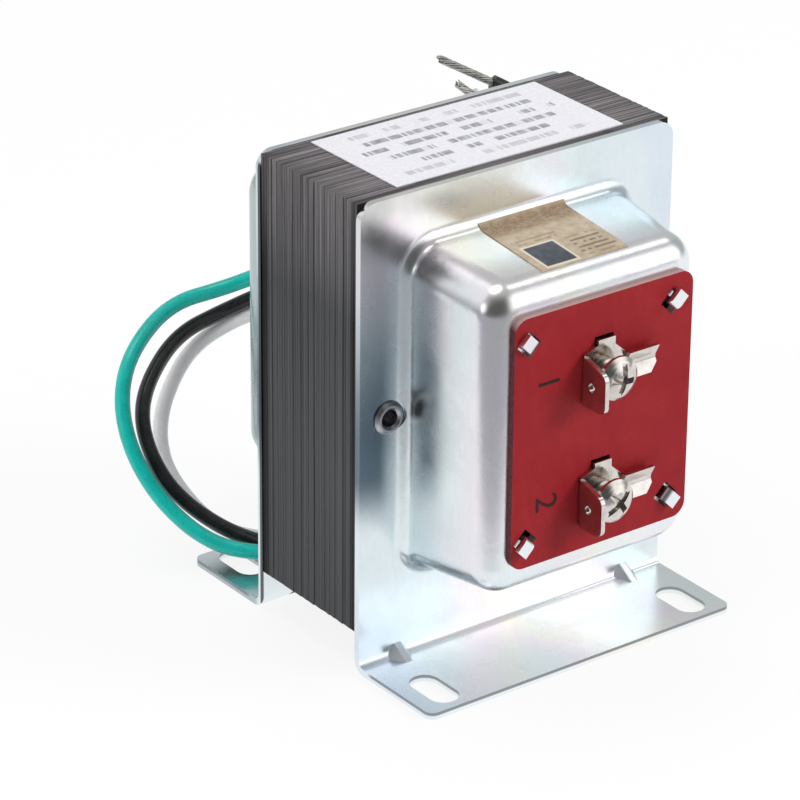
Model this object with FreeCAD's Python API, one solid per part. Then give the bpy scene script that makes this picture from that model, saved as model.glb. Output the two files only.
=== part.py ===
"""Foot-mounted doorbell transformer: a laminated core between two drawn steel end covers,
a bobbin with two windings, a red terminal board with two screw terminals and three supply leads.
Lengths are in millimetres. X runs across the front, Y from front to back and Z up."""
import FreeCAD
import Part
import math
import os

Vec = FreeCAD.Vector

# Laminated core, of the 66 by 55 mm shape, standing on its short side
LAM_UNIT = 11.0            # width of a yoke and of an outer leg
CORE_H = 6 * LAM_UNIT
CORE_W = 5 * LAM_UNIT
LAYER_T = 1.264            # two sheets laid the same way
LAYERS = 18
STACK = LAYERS * LAYER_T
CORE_HALF = STACK / 2
CORE_BOTTOM = 6.2          # height of the core above the mounting surface
CORE_MID = CORE_BOTTOM + CORE_H / 2
LAYER_STEP = 0.12          # how far layers of one direction stand out sideways

# Drawn end covers
SHEET = 1.05
PLATE_SIDE = 0.2            # how far the plate stands out past the core's side
PLATE_RISE = 0.05           # and past its top
PLATE_CORNER_R = 2.6
FOOT_LENGTH = 17.0         # from the plate's outer face
FOOT_CORNER_R = 1.4
BEND_R = 1.1
SLOT_WIDTH = 4.6
SLOT_LENGTH = 8.8
SLOT_FROM_SIDE = 4.95       # plate's side to the slot's middle
SLOT_FROM_PLATE = 11.3
GUSSET_FROM_SIDE = 6.8
GUSSET_WIDTH = 5.2
GUSSET_FLAT = 1.1           # width of its ridge
GUSSET_RISE = 2.3           # up the plate
GUSSET_REACH = 3.7          # out along the foot
GUSSET_RIDGE_R = 0.3
GUSSET_DENT = 0.8          # the hollow behind it, against its size
BOX_CLEAR_X = 3.6           # bobbin's end to the drawn box's outside
BOX_CLEAR_Z = 4.7
LEAD_ROOM = 4.876           # between the winding's cover sheet and the box's inside
BOX_DRAFT = math.radians(5.5)
BOX_CORNER_R = 4.8
BOX_FRONT_R = 4.0
BOX_BASE_R = 2.0
WINDOW_W = 16.0            # opening in the front face, behind the terminals
WINDOW_H = 27.0

# Core rivets
RIVET_FROM_BOX = 2.85       # drawn box's side to the rivet's axis
RIVET_R = 1.75
RIVET_PLAY = 0.15
RIVET_HEAD_R = 2.5
RIVET_HEAD_T = 1.2
RIVET_COLLAR_R = 2.5
RIVET_COLLAR_T = 0.7
RIVET_HOLLOW_R = 1.3
RIVET_HOLLOW_DEPTH = 5.0

# Terminal board, its tabs and the terminals
BOARD_T = 1.0
BOARD_FROM_SIDE = 4.1       # box's side to the board's edge
BOARD_FROM_END = 5.95
BOARD_X = 0.6              # it lies a little to the right on its tabs
BOARD_LIFT = 0.2            # its middle above the core's
BOARD_CORNER_R = 2.2
TAB_FROM_SIDE = 2.7         # board's edge to the middle of the folded head
TAB_FROM_END = 3.65
TAB_W = 2.0
TAB_HOLE = 2.9
TAB_HEAD = 2.6
TAB_LIFT = 0.12
TERMINAL_X = 0.5
TERMINAL_PITCH = 18.9
TERMINAL_DROP = 1.45        # the pair's middle below the core's
TERMINAL_T = 0.7
TERMINAL_LEFT = -4.0       # places are counted from the screw's axis
TERMINAL_RIGHT = 3.4
TERMINAL_BOTTOM = -4.1
TERMINAL_TOP = 4.4
EAR_TOP = 3.4
EAR_REACH = 5.4
EAR_SLOPE = 1.6             # how far its top edge falls
EAR_CORNER_R = 1.3
EAR_HOLE_R = 0.65
HOOK_LEFT = -1.5
HOOK_RIGHT = 1.5
HOOK_SLOT = 1.0
WING_END = 8.7
WING_TOP = 2.2
WING_BOTTOM = -1.7
WING_LIFT = 1.0
WING_VALLEY_R = 1.0
COLLAR_R = 2.6
COLLAR_FLARE_R = 3.1
COLLAR_FLARE_T = 0.5
SCREW_R = 1.75
SCREW_PLAY = 0.03
SCREW_GAP = 2.3            # bare thread between the plate and the head
SCREW_HEAD_R = 3.25
SCREW_RIM = 0.5
SCREW_DOME = 1.25
SCREW_TAIL = 2.4           # thread past the board's back
SCREW_TURN = {"upper": 10.0, "lower": 52.0}
DRIVE_W = 0.9
DRIVE_SLOT_LENGTH = 6.2
DRIVE_SLOT_DEPTH = 0.7
DRIVE_CROSS_LENGTH = 4.0
DRIVE_CROSS_DEPTH = 1.5

# Paper labels
LABEL_T = 0.12
RATING_W = 40.1
RATING_D = 20.2
RATING_X = 0.5
RATING_Y = 0.4
GOLD_W = 15.2
GOLD_X = -0.2
GOLD_CURL = math.radians(50)    # rear end, up the curve towards the plate
GOLD_OVERHANG = math.radians(14)    # front end, over the rounded edge

# Bobbin and windings on the horizontal centre leg
LEG_PLAY = 0.25
BOBBIN_T = 1.0
BOBBIN_END_PLAY = 0.2
FLANGE_MARGIN_Y = 4.024     # past the wrapped winding
FLANGE_MARGIN_Z = 1.2
FLANGE_CORNER_R = 2.0
WINDING_BUILD = 6.6
WINDING_CORNER_R = 3.0
WRAP_T = 0.35
INSULATOR_T = 0.4
INSULATOR_FROM_SIDE = 0.3   # bobbin's end to the sheet's edge
INSULATOR_FROM_END = 0.9
INSULATOR_CORNER_R = 3.0
WIRE_R = 0.45
WIRE_PLAY = 0.35

# Supply leads, their bushing and joints
LEAD_R = 1.175
LEAD_PITCH = 2.5
BUSHING_DROP = 3.0          # its axis below the core's middle
BUSHING_PLAY = 0.225        # outer leads to its bore
BUSHING_WALL = 0.8
BUSHING_FLANGE_REACH = 1.05
BUSHING_FLANGE_T = 1.2
BUSHING_LIP_REACH = 0.4
BUSHING_LIP_T = 0.9
BUSHING_BORE_R = LEAD_PITCH + LEAD_R + BUSHING_PLAY
BUSHING_BARREL_R = BUSHING_BORE_R + BUSHING_WALL
BUSHING_FLANGE_R = BUSHING_BARREL_R + BUSHING_FLANGE_REACH
BUSHING_LIP_R = BUSHING_BARREL_R + BUSHING_LIP_REACH
HOLE_PLAY = 0.05
SPLICE_R = 1.5
SPLICE_LENGTH = 5.5
INNER_BEND_R = 2.0
FUSE_R = 1.2
FUSE_LENGTH = 8.0
LUG_T = 0.6
LUG_W = 5.0
LUG_LENGTH = 5.0
STRIP_R = 0.5
STRIP_LENGTH = {"green": 7.0, "black": 10.0, "white": 4.0}
SPLICE_START = 4.6         # bushing's middle to the black lead's joint
FUSE_WIRE_GAP = 2.0
WHITE_DROP = 4.2           # white lead's level down to its joint
RETURN_WIRE_X = -7.0
RETURN_WIRE_DROP = 1.6
LUG_START = 6.0
SECONDARY_WIRE_X = 6.5
WIRE_BEND_R = 1.1

# Heights and distances that follow from the sizes above
PLATE_W = CORE_W + 2 * PLATE_SIDE
PLATE_TOP = CORE_BOTTOM + CORE_H + PLATE_RISE
PLATE_FACE = CORE_HALF + SHEET
SLOT_X = PLATE_W / 2 - SLOT_FROM_SIDE
GUSSET_X = PLATE_W / 2 - GUSSET_FROM_SIDE
BOBBIN_HALF = 3 * LAM_UNIT / 2 - BOBBIN_END_PLAY
TUBE_Y = CORE_HALF + LEG_PLAY + BOBBIN_T
TUBE_Z = LAM_UNIT + LEG_PLAY + BOBBIN_T
WRAP_Y = TUBE_Y + WINDING_BUILD + WRAP_T
WRAP_Z = TUBE_Z + WINDING_BUILD + WRAP_T
FLANGE_REACH_Y = WRAP_Y + FLANGE_MARGIN_Y
FLANGE_REACH_Z = WRAP_Z + FLANGE_MARGIN_Z
INSULATOR_W = 2 * (BOBBIN_HALF - INSULATOR_FROM_SIDE)
INSULATOR_H = 2 * (FLANGE_REACH_Z - INSULATOR_FROM_END)
INSULATOR_BACK = FLANGE_REACH_Y + INSULATOR_T
BOX_W = 2 * (BOBBIN_HALF + BOX_CLEAR_X)
BOX_H = 2 * (FLANGE_REACH_Z + BOX_CLEAR_Z)
BOX_FACE = INSULATOR_BACK + LEAD_ROOM + SHEET
BOX_DEPTH = BOX_FACE - PLATE_FACE
RIVET_X = BOX_W / 2 + RIVET_FROM_BOX
BOARD_W = BOX_W - 2 * BOARD_FROM_SIDE
BOARD_H = BOX_H - 2 * BOARD_FROM_END
BOARD_MID = CORE_MID + BOARD_LIFT
BOARD_FACE = BOX_FACE + BOARD_T
TAB_X = BOARD_W / 2 - TAB_FROM_SIDE
TAB_Z = BOARD_H / 2 - TAB_FROM_END
TERMINAL_MID = CORE_MID - TERMINAL_DROP
BUSHING_Z = CORE_MID - BUSHING_DROP
PLATE_SURFACE = BOARD_FACE + TERMINAL_T
SCREW_UNDERSIDE = PLATE_SURFACE + SCREW_GAP
FRONT_REACH = SCREW_UNDERSIDE + SCREW_RIM + SCREW_DOME
EAR_FRONT = BOARD_FACE + EAR_REACH
REAR_REACH = BOX_FACE + BUSHING_FLANGE_T
Y_SHIFT = (max(FRONT_REACH, EAR_FRONT) - REAR_REACH) / 2
SCREW_Z = {
    "upper": TERMINAL_MID + TERMINAL_PITCH / 2,
    "lower": TERMINAL_MID - TERMINAL_PITCH / 2,
}
INNER_LEAD_Y = INSULATOR_BACK + SPLICE_R
BLACK_SPLICE_START = -SPLICE_START
BLACK_SPLICE_END = BLACK_SPLICE_START - SPLICE_LENGTH
FUSE_WIRE_X = BLACK_SPLICE_END - FUSE_WIRE_GAP
WHITE_SPLICE_TOP = BUSHING_Z - LEAD_PITCH - WHITE_DROP
WHITE_SPLICE_BOTTOM = WHITE_SPLICE_TOP - SPLICE_LENGTH
RETURN_WIRE_Z = WHITE_SPLICE_BOTTOM - RETURN_WIRE_DROP
LEAD_ROWS = {"green": 1, "black": 0, "white": -1}

# Routes of the free leads after the bushing, from the core's middle
LEAD_ROUTES = {
    "green": [
        (0, 38, 38.7), (-2.5, 44, 36.5), (-8, 49, 33), (-17, 51, 32), (-27, 46.5, 28.5),
        (-31.5, 43, 23), (-32.5, 38.5, 16), (-30.5, 33, 9), (-27, 25.5, 4.5), (-21, 20, 3.4),
        (-12, 17.5, 3), (0, 18.5, 2.5), (13, 19.5, 3.5), (25, 19.5, 8.5), (33, 20, 17.5),
        (37.5, 21.5, 28.5), (38, 23, 40), (37, 25, 51),
    ],
    "black": [
        (0, 37.5, 36.2), (-2, 44.5, 33), (-8, 49.5, 29), (-16.5, 50, 27), (-25, 45.5, 23),
        (-28.5, 42, 18.5), (-29, 37, 13), (-27, 32.5, 8.5), (-22.5, 26.5, 4.5),
        (-16.5, 21.5, 2.5), (-8, 20.5, 2.5), (1, 22, 3.5), (11, 23.5, 5), (22, 23.5, 8.5),
        (29, 23, 17.5), (32.5, 21.5, 28.5), (35, 20.5, 39), (35.5, 19.5, 49.5), (33.5, 19.5, 58),
        (29, 21.5, 64), (23.4, 24, 67.3),
    ],
    "white": [
        (0, 36.5, 33.7), (-1, 44, 30.5), (-6.5, 49.5, 27), (-13.5, 51, 23.5),
        (-20.5, 47.5, 18.5), (-24, 44, 14), (-25.5, 39, 10), (-23.5, 31, 4.5), (-18, 25.5, 2.5),
        (-11, 23, 2.5), (0, 24.5, 3), (11.5, 27, 5), (23, 28, 9), (29, 29, 19),
        (31.5, 29.5, 30.5), (33.5, 29.5, 41), (33.5, 29, 50.5), (30, 29.5, 58.5),
        (24.5, 30, 63.1),
    ],
}


def block(x0, x1, y0, y1, z0, z1):
    return Part.makeBox(x1 - x0, y1 - y0, z1 - z0, Vec(x0, y0, z0))


def prism(points, direction):
    """A straight prism over a closed outline of 3-D points."""
    outline = Part.makePolygon(points + points[:1])
    return Part.Face(outline).extrude(direction)


def rod(radius, start, end):
    axis = end - start
    return Part.makeCylinder(radius, axis.Length, start, axis)


def edges_where(shape, test):
    return [edge for edge in shape.Edges if all(test(vertex.Point) for vertex in edge.Vertexes)]


def along_x(edge):
    return abs(edge.Vertexes[0].Y - edge.Vertexes[-1].Y) < 1e-6 and \
        abs(edge.Vertexes[0].Z - edge.Vertexes[-1].Z) < 1e-6


def along_y(edge):
    return abs(edge.Vertexes[0].X - edge.Vertexes[-1].X) < 1e-6 and \
        abs(edge.Vertexes[0].Z - edge.Vertexes[-1].Z) < 1e-6


def along_z(edge):
    return abs(edge.Vertexes[0].X - edge.Vertexes[-1].X) < 1e-6 and \
        abs(edge.Vertexes[0].Y - edge.Vertexes[-1].Y) < 1e-6


def rounded(shape, radius, direction):
    """Round every edge of a block that runs the given way."""
    return shape.makeFillet(radius, [edge for edge in shape.Edges if direction(edge)])


def mirrored(shape):
    """The same shape on the rear side."""
    return shape.mirror(Vec(0, 0, 0), Vec(0, 1, 0))


def lamination(x_sign, is_e, y0):
    """One layer of E or I sheets. x_sign is the side on which its yoke lies."""
    unit = LAM_UNIT
    half = CORE_W / 2
    if is_e:
        outline = [(-half, 0), (half - unit, 0), (half - unit, unit), (unit - half, unit),
                   (unit - half, 2 * unit), (half - unit, 2 * unit), (half - unit, 4 * unit),
                   (unit - half, 4 * unit), (unit - half, 5 * unit), (half - unit, 5 * unit),
                   (half - unit, 6 * unit), (-half, 6 * unit)]
    else:
        outline = [(-half, 0), (unit - half, 0), (unit - half, 6 * unit), (-half, 6 * unit)]
    points = [Vec(-x_sign * x, y0, CORE_BOTTOM + z) for x, z in outline]
    sheet = prism(points, Vec(0, LAYER_T, 0))
    hole_x = x_sign * RIVET_X
    hole = rod(RIVET_R + RIVET_PLAY, Vec(hole_x, y0 - 1, CORE_MID), Vec(hole_x, y0 + LAYER_T + 1, CORE_MID))
    return sheet.cut(hole)


def laminations():
    """E and I layers, laid alternately to the left and to the right."""
    groups = {"e_laminations_left": [], "e_laminations_right": [],
              "i_laminations_left": [], "i_laminations_right": []}
    for layer in range(LAYERS):
        y0 = -CORE_HALF + layer * LAYER_T
        e_side = -1 if layer % 2 == 0 else 1
        shift = Vec(e_side * LAYER_STEP / 2, 0, 0)
        names = {-1: "left", 1: "right"}
        e_sheet = lamination(e_side, True, y0)
        i_sheet = lamination(-e_side, False, y0)
        e_sheet.translate(shift)
        i_sheet.translate(shift)
        groups["e_laminations_" + names[e_side]].append(e_sheet)
        groups["i_laminations_" + names[-e_side]].append(i_sheet)
    return {name: Part.makeCompound(solids) for name, solids in groups.items()}


def drawn_block(inset):
    """The drawn box as a solid on the front side, its walls moved inwards by inset."""
    base = -PLATE_FACE + inset
    front = -BOX_FACE + inset
    side = inset / math.cos(BOX_DRAFT) - inset * math.tan(BOX_DRAFT)
    taper = (base - front) * math.tan(BOX_DRAFT)
    loops = []
    for y, shrink in ((base, side), (front, side + taper)):
        w = BOX_W / 2 - shrink
        h = BOX_H / 2 - shrink
        corners = [Vec(-w, y, CORE_MID - h), Vec(w, y, CORE_MID - h),
                   Vec(w, y, CORE_MID + h), Vec(-w, y, CORE_MID + h)]
        loops.append(Part.makePolygon(corners + corners[:1]))
    solid = Part.makeLoft(loops, True, True)
    slanted = [edge for edge in solid.Edges
               if abs(edge.Vertexes[0].Y - edge.Vertexes[-1].Y) > 1]
    solid = solid.makeFillet(BOX_CORNER_R - inset, slanted)
    front_loop = edges_where(solid, lambda p: abs(p.y - front) < 1e-4)
    return solid.makeFillet(BOX_FRONT_R - inset, front_loop)


def bent_plate():
    """Flat plate and outward foot, bent from one sheet."""
    outer_r = BEND_R + SHEET
    diagonal = math.sqrt(0.5)
    inner = -CORE_HALF
    face = -PLATE_FACE
    foot_end = face - FOOT_LENGTH
    centre = Vec(-PLATE_W / 2, inner - outer_r, outer_r)

    def at(y, z):
        return Vec(-PLATE_W / 2, y, z)

    back_mid = centre + Vec(0, outer_r * diagonal, -outer_r * diagonal)
    front_mid = centre + Vec(0, BEND_R * diagonal, -BEND_R * diagonal)
    wire = Part.Wire([
        Part.LineSegment(at(inner, PLATE_TOP), at(inner, outer_r)).toShape(),
        Part.Arc(at(inner, outer_r), back_mid, at(inner - outer_r, 0)).toShape(),
        Part.LineSegment(at(inner - outer_r, 0), at(foot_end, 0)).toShape(),
        Part.LineSegment(at(foot_end, 0), at(foot_end, SHEET)).toShape(),
        Part.LineSegment(at(foot_end, SHEET), at(face - BEND_R, SHEET)).toShape(),
        Part.Arc(at(face - BEND_R, SHEET), front_mid, at(face, SHEET + BEND_R)).toShape(),
        Part.LineSegment(at(face, SHEET + BEND_R), at(face, PLATE_TOP)).toShape(),
        Part.LineSegment(at(face, PLATE_TOP), at(inner, PLATE_TOP)).toShape(),
    ])
    plate = Part.Face(wire).extrude(Vec(PLATE_W, 0, 0))
    top_corners = [edge for edge in plate.Edges if along_y(edge) and edge.Vertexes[0].Z > PLATE_TOP - 1]
    plate = plate.makeFillet(PLATE_CORNER_R, top_corners)
    foot_corners = [edge for edge in plate.Edges if along_z(edge) and edge.Vertexes[0].Y < foot_end + 1
                    and edge.Length < 2 * SHEET]
    return plate.makeFillet(FOOT_CORNER_R, foot_corners)


def gusset(x, scale, ridge_r):
    """A pressed rib with a flat ridge across the bend."""
    rise, reach, flat, half = [size * scale for size in (GUSSET_RISE, GUSSET_REACH, GUSSET_FLAT / 2,
                                                         GUSSET_WIDTH / 2)]
    corner = Vec(x, -PLATE_FACE + SHEET / 4, SHEET * 3 / 4)

    def section(dx):
        low = corner + Vec(dx, 0, 0)
        return Part.makePolygon([low, low + Vec(0, 0, rise), low + Vec(0, -reach, 0), low])

    left = Part.Vertex(corner + Vec(-half, 0, 0))
    right = Part.Vertex(corner + Vec(half, 0, 0))
    rib = Part.makeLoft([left, section(-flat), section(flat), right], True, True)
    ridge = [edge for edge in rib.Edges
             if abs(edge.Vertexes[0].X - edge.Vertexes[-1].X) < 1e-6 and edge.Length > 1.01 * max(rise, reach)]
    return rib.makeFillet(ridge_r, ridge)


def foot_slot(x):
    y = -PLATE_FACE - SLOT_FROM_PLATE
    radius = SLOT_WIDTH / 2
    run = SLOT_LENGTH / 2 - radius
    slot = block(x - radius, x + radius, y - run, y + run, -1, SHEET + 1)
    for end in (y - run, y + run):
        slot = slot.fuse(rod(radius, Vec(x, end, -1), Vec(x, end, SHEET + 1)))
    return slot.removeSplitter()


def cover_blank():
    """One end cover on the front side, before its own holes."""
    cover = bent_plate().fuse(drawn_block(0)).removeSplitter()
    reach_x = BOX_W / 2 + 0.5
    reach_z = BOX_H / 2 + 0.5

    def on_base(p, y):
        return abs(p.y - y) < 1e-4 and abs(p.x) < reach_x and abs(p.z - CORE_MID) < reach_z

    outer_loop = edges_where(cover, lambda p: on_base(p, -PLATE_FACE))
    cover = cover.makeFillet(BOX_BASE_R, outer_loop)
    mouth = drawn_block(SHEET)
    cover = cover.cut(mouth)
    inner_loop = edges_where(cover, lambda p: on_base(p, -CORE_HALF))
    cover = cover.makeFillet(BOX_BASE_R + SHEET / 2, inner_loop)
    for x in (-GUSSET_X, GUSSET_X):
        cover = cover.fuse(gusset(x, 1.0, GUSSET_RIDGE_R))
    for x in (-GUSSET_X, GUSSET_X):
        dent = gusset(x, GUSSET_DENT, GUSSET_RIDGE_R / 2)
        dent.translate(Vec(0, SHEET / 2, -SHEET / 2))
        cover = cover.cut(dent)
    for x in (-SLOT_X, SLOT_X):
        cover = cover.cut(foot_slot(x))
    for x in (-RIVET_X, RIVET_X):
        hole = rod(RIVET_R + RIVET_PLAY, Vec(x, 0, CORE_MID), Vec(x, -PLATE_FACE - 3, CORE_MID))
        cover = cover.cut(hole)
        seat = rod(RIVET_COLLAR_R + RIVET_PLAY, Vec(x, -PLATE_FACE, CORE_MID),
                   Vec(x, -PLATE_FACE - 2 * BOX_BASE_R, CORE_MID))
        cover = cover.cut(seat)
    return cover.removeSplitter()


def tab_frame(sx, sz):
    """Inner foot of a tab, the way its head folds and the way its bend line runs."""
    fold = Vec(sx, 0, sz) * math.sqrt(0.5)
    bend = Vec(sz, 0, -sx) * math.sqrt(0.5)
    head_centre = Vec(sx * TAB_X, -BOX_FACE, BOARD_MID + sz * TAB_Z)
    return head_centre - fold * (TAB_HEAD / 2), fold, bend


def board_tab(sx, sz):
    """A lanced tab that stands through the board and is folded over it."""
    foot, fold, bend = tab_frame(sx, sz)
    out = Vec(0, -1, 0)
    thickness = SHEET * 0.9
    head_low = BOARD_T + TAB_LIFT
    head_top = head_low + thickness
    start = foot - bend * (TAB_W / 2)

    def at(along, rise):
        return start + fold * along + out * rise

    bend_r = thickness
    mid = at(bend_r * (1 - math.sqrt(0.5)), head_top - bend_r * (1 - math.sqrt(0.5)))
    wire = Part.Wire([
        Part.LineSegment(at(0, -SHEET / 2), at(0, head_top - bend_r)).toShape(),
        Part.Arc(at(0, head_top - bend_r), mid, at(bend_r, head_top)).toShape(),
        Part.LineSegment(at(bend_r, head_top), at(TAB_HEAD, head_top)).toShape(),
        Part.LineSegment(at(TAB_HEAD, head_top), at(TAB_HEAD, head_low)).toShape(),
        Part.LineSegment(at(TAB_HEAD, head_low), at(thickness, head_low)).toShape(),
        Part.LineSegment(at(thickness, head_low), at(thickness, -SHEET / 2)).toShape(),
        Part.LineSegment(at(thickness, -SHEET / 2), at(0, -SHEET / 2)).toShape(),
    ])
    return Part.Face(wire).extrude(bend * TAB_W)


def lance_window(sx, sz):
    """The gap in the cover's face that a tab was cut from."""
    foot, fold, bend = tab_frame(sx, sz)
    reach = SHEET * 1.5
    corner = foot - bend * (TAB_W / 2) + Vec(0, reach, 0)
    outline = [corner, corner - fold * TAB_HEAD, corner - fold * TAB_HEAD + bend * TAB_W,
               corner + bend * TAB_W]
    return prism(outline, Vec(0, -2 * reach, 0))


def front_cover():
    cover = cover_blank()
    window = block(TERMINAL_X - WINDOW_W / 2, TERMINAL_X + WINDOW_W / 2, -BOX_FACE - 1,
                   -BOX_FACE + 2 * SHEET, TERMINAL_MID - WINDOW_H / 2, TERMINAL_MID + WINDOW_H / 2)
    cover = cover.cut(rounded(window, 2.0, along_y))
    for sx in (-1, 1):
        for sz in (-1, 1):
            cover = cover.cut(lance_window(sx, sz))
            cover = cover.fuse(board_tab(sx, sz))
    return cover.removeSplitter()


def rear_cover():
    cover = mirrored(cover_blank())
    radius = BUSHING_BARREL_R + HOLE_PLAY
    hole = rod(radius, Vec(0, BOX_FACE - 2 * SHEET, BUSHING_Z), Vec(0, BOX_FACE + 1, BUSHING_Z))
    return cover.cut(hole)


def revolved(profile, origin):
    """A solid turned about Y through origin from (radius, y) points."""
    points = [Vec(origin.x + radius, y, origin.z) for radius, y in profile]
    face = Part.Face(Part.makePolygon(points + points[:1]))
    return face.revolve(Vec(origin.x, 0, origin.z), Vec(0, 1, 0), 360)


def core_rivet(x):
    """Headed at the back, rolled over at its hollow front end."""
    front = -PLATE_FACE
    rear = PLATE_FACE
    profile = [
        (0, front - RIVET_COLLAR_T + RIVET_HOLLOW_DEPTH),
        (RIVET_HOLLOW_R, front - RIVET_COLLAR_T + RIVET_HOLLOW_DEPTH - RIVET_HOLLOW_R),
        (RIVET_HOLLOW_R, front - RIVET_COLLAR_T / 2),
        (RIVET_HOLLOW_R + 0.4, front - RIVET_COLLAR_T),
        (RIVET_COLLAR_R - 0.5, front - RIVET_COLLAR_T),
        (RIVET_COLLAR_R, front - RIVET_COLLAR_T / 3),
        (RIVET_COLLAR_R, front),
        (RIVET_R, front),
        (RIVET_R, rear),
        (RIVET_HEAD_R, rear),
        (RIVET_HEAD_R, rear + RIVET_HEAD_T * 0.4),
        (RIVET_HEAD_R * 0.75, rear + RIVET_HEAD_T * 0.85),
        (RIVET_HEAD_R * 0.35, rear + RIVET_HEAD_T),
        (0, rear + RIVET_HEAD_T),
    ]
    return revolved(profile, Vec(x, 0, CORE_MID))


def terminal_board():
    board = block(BOARD_X - BOARD_W / 2, BOARD_X + BOARD_W / 2, -BOARD_FACE, -BOX_FACE,
                  BOARD_MID - BOARD_H / 2, BOARD_MID + BOARD_H / 2)
    board = rounded(board, BOARD_CORNER_R, along_y)
    for sx in (-1, 1):
        for sz in (-1, 1):
            foot, fold, bend = tab_frame(sx, sz)
            centre = foot + fold * (TAB_HOLE / 4)
            half = TAB_HOLE * math.sqrt(0.5)
            corners = [centre + Vec(dx * half, 1, dz * half)
                       for dx, dz in ((1, 0), (0, 1), (-1, 0), (0, -1))]
            board = board.cut(prism(corners, Vec(0, -BOARD_T - 2, 0)))
    for z in SCREW_Z.values():
        hole = rod(COLLAR_R, Vec(TERMINAL_X, -BOARD_FACE - 1, z), Vec(TERMINAL_X, -BOX_FACE + 1, z))
        slot = block(TERMINAL_X + HOOK_LEFT - 0.2, TERMINAL_X + HOOK_RIGHT + 0.2, -BOARD_FACE - 1,
                     -BOX_FACE + 1, z + TERMINAL_TOP - 0.1, z + TERMINAL_TOP + HOOK_SLOT)
        board = board.cut(hole).cut(slot)
    return board


def terminal_plate(z):
    """Saddle with an upturned ear, a V-shaped wing, a hook and a clinched collar."""
    x = TERMINAL_X
    back = -BOARD_FACE
    face = -PLATE_SURFACE
    thickness = TERMINAL_T

    def at(dx, y, dz):
        return Vec(x + dx, y, z + dz)

    outline = [(TERMINAL_LEFT, TERMINAL_BOTTOM), (TERMINAL_RIGHT, TERMINAL_BOTTOM + 0.6),
               (TERMINAL_RIGHT, WING_TOP), (HOOK_RIGHT, TERMINAL_TOP - 0.5), (HOOK_RIGHT, TERMINAL_TOP),
               (HOOK_LEFT, TERMINAL_TOP), (TERMINAL_LEFT, EAR_TOP)]
    plate = prism([at(dx, back, dz) for dx, dz in outline], Vec(0, -thickness, 0))
    ear_outline = [(back, TERMINAL_BOTTOM), (back, EAR_TOP), (-EAR_FRONT, EAR_TOP - EAR_SLOPE),
                   (-EAR_FRONT, TERMINAL_BOTTOM)]
    ear = prism([at(TERMINAL_LEFT, y, dz) for y, dz in ear_outline], Vec(thickness, 0, 0))
    ear = ear.makeFillet(EAR_CORNER_R, [edge for edge in ear.Edges
                                        if along_x(edge) and edge.Vertexes[0].Y < 0.1 - EAR_FRONT])
    hole_y = back - EAR_REACH * 0.45
    hole_z = (EAR_TOP + TERMINAL_BOTTOM) / 2 - 0.4
    ear = ear.cut(rod(EAR_HOLE_R, at(TERMINAL_LEFT - 1, hole_y, hole_z), at(TERMINAL_LEFT + 2, hole_y, hole_z)))
    wing_mid = (WING_TOP + WING_BOTTOM) / 2
    wing_section = [(back, wing_mid), (back - WING_LIFT, WING_TOP), (face - WING_LIFT, WING_TOP),
                    (face, wing_mid), (face - WING_LIFT, WING_BOTTOM), (back - WING_LIFT, WING_BOTTOM)]
    wing = prism([at(TERMINAL_RIGHT, y, dz) for y, dz in wing_section], Vec(WING_END - TERMINAL_RIGHT, 0, 0))
    for depth, valley_r in ((face, WING_VALLEY_R), (back, WING_VALLEY_R + thickness)):
        valley = [edge for edge in wing.Edges if along_x(edge) and abs(edge.Vertexes[0].Y - depth) < 1e-6
                  and abs(edge.Vertexes[0].Z - z - wing_mid) < 1e-6]
        wing = wing.makeFillet(valley_r, valley)
    tip = WING_END - 1.4
    trim = prism([at(tip, back + 1, WING_BOTTOM - 0.01), at(WING_END + 1, back + 1, WING_BOTTOM - 0.01),
                  at(WING_END + 1, back + 1, wing_mid)], Vec(0, -WING_LIFT - 4, 0))
    wing = wing.cut(trim)
    root_section = [(TERMINAL_RIGHT - 1.2, WING_BOTTOM - 1.0), (TERMINAL_RIGHT + 0.2, WING_BOTTOM),
                    (TERMINAL_RIGHT + 0.2, WING_TOP), (TERMINAL_RIGHT - 1.2, WING_TOP)]
    root = prism([at(dx, back, dz) for dx, dz in root_section], Vec(0, -thickness, 0))
    hook = block(x + HOOK_LEFT, x + HOOK_RIGHT, face, -BOX_FACE - 0.3, z + TERMINAL_TOP,
                 z + TERMINAL_TOP + thickness)
    collar = rod(COLLAR_R, at(0, back, 0), at(0, -BOX_FACE, 0))
    flare = Part.makeCone(COLLAR_R, COLLAR_FLARE_R, COLLAR_FLARE_T, at(0, -BOX_FACE, 0), Vec(0, 1, 0))
    solid = plate
    for piece in (root, ear, wing, hook, collar, flare):
        solid = solid.fuse(piece)
    bore = rod(SCREW_R + SCREW_PLAY, at(0, face - 1, 0), at(0, -BOX_FACE + 2, 0))
    solid = solid.cut(bore).removeSplitter()
    fold = [edge for edge in solid.Edges if along_z(edge) and abs(edge.Vertexes[0].Y - back) < 1e-6
            and abs(edge.Vertexes[0].X - x - TERMINAL_LEFT) < 1e-6]
    return solid.makeFillet(thickness, fold)


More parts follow.
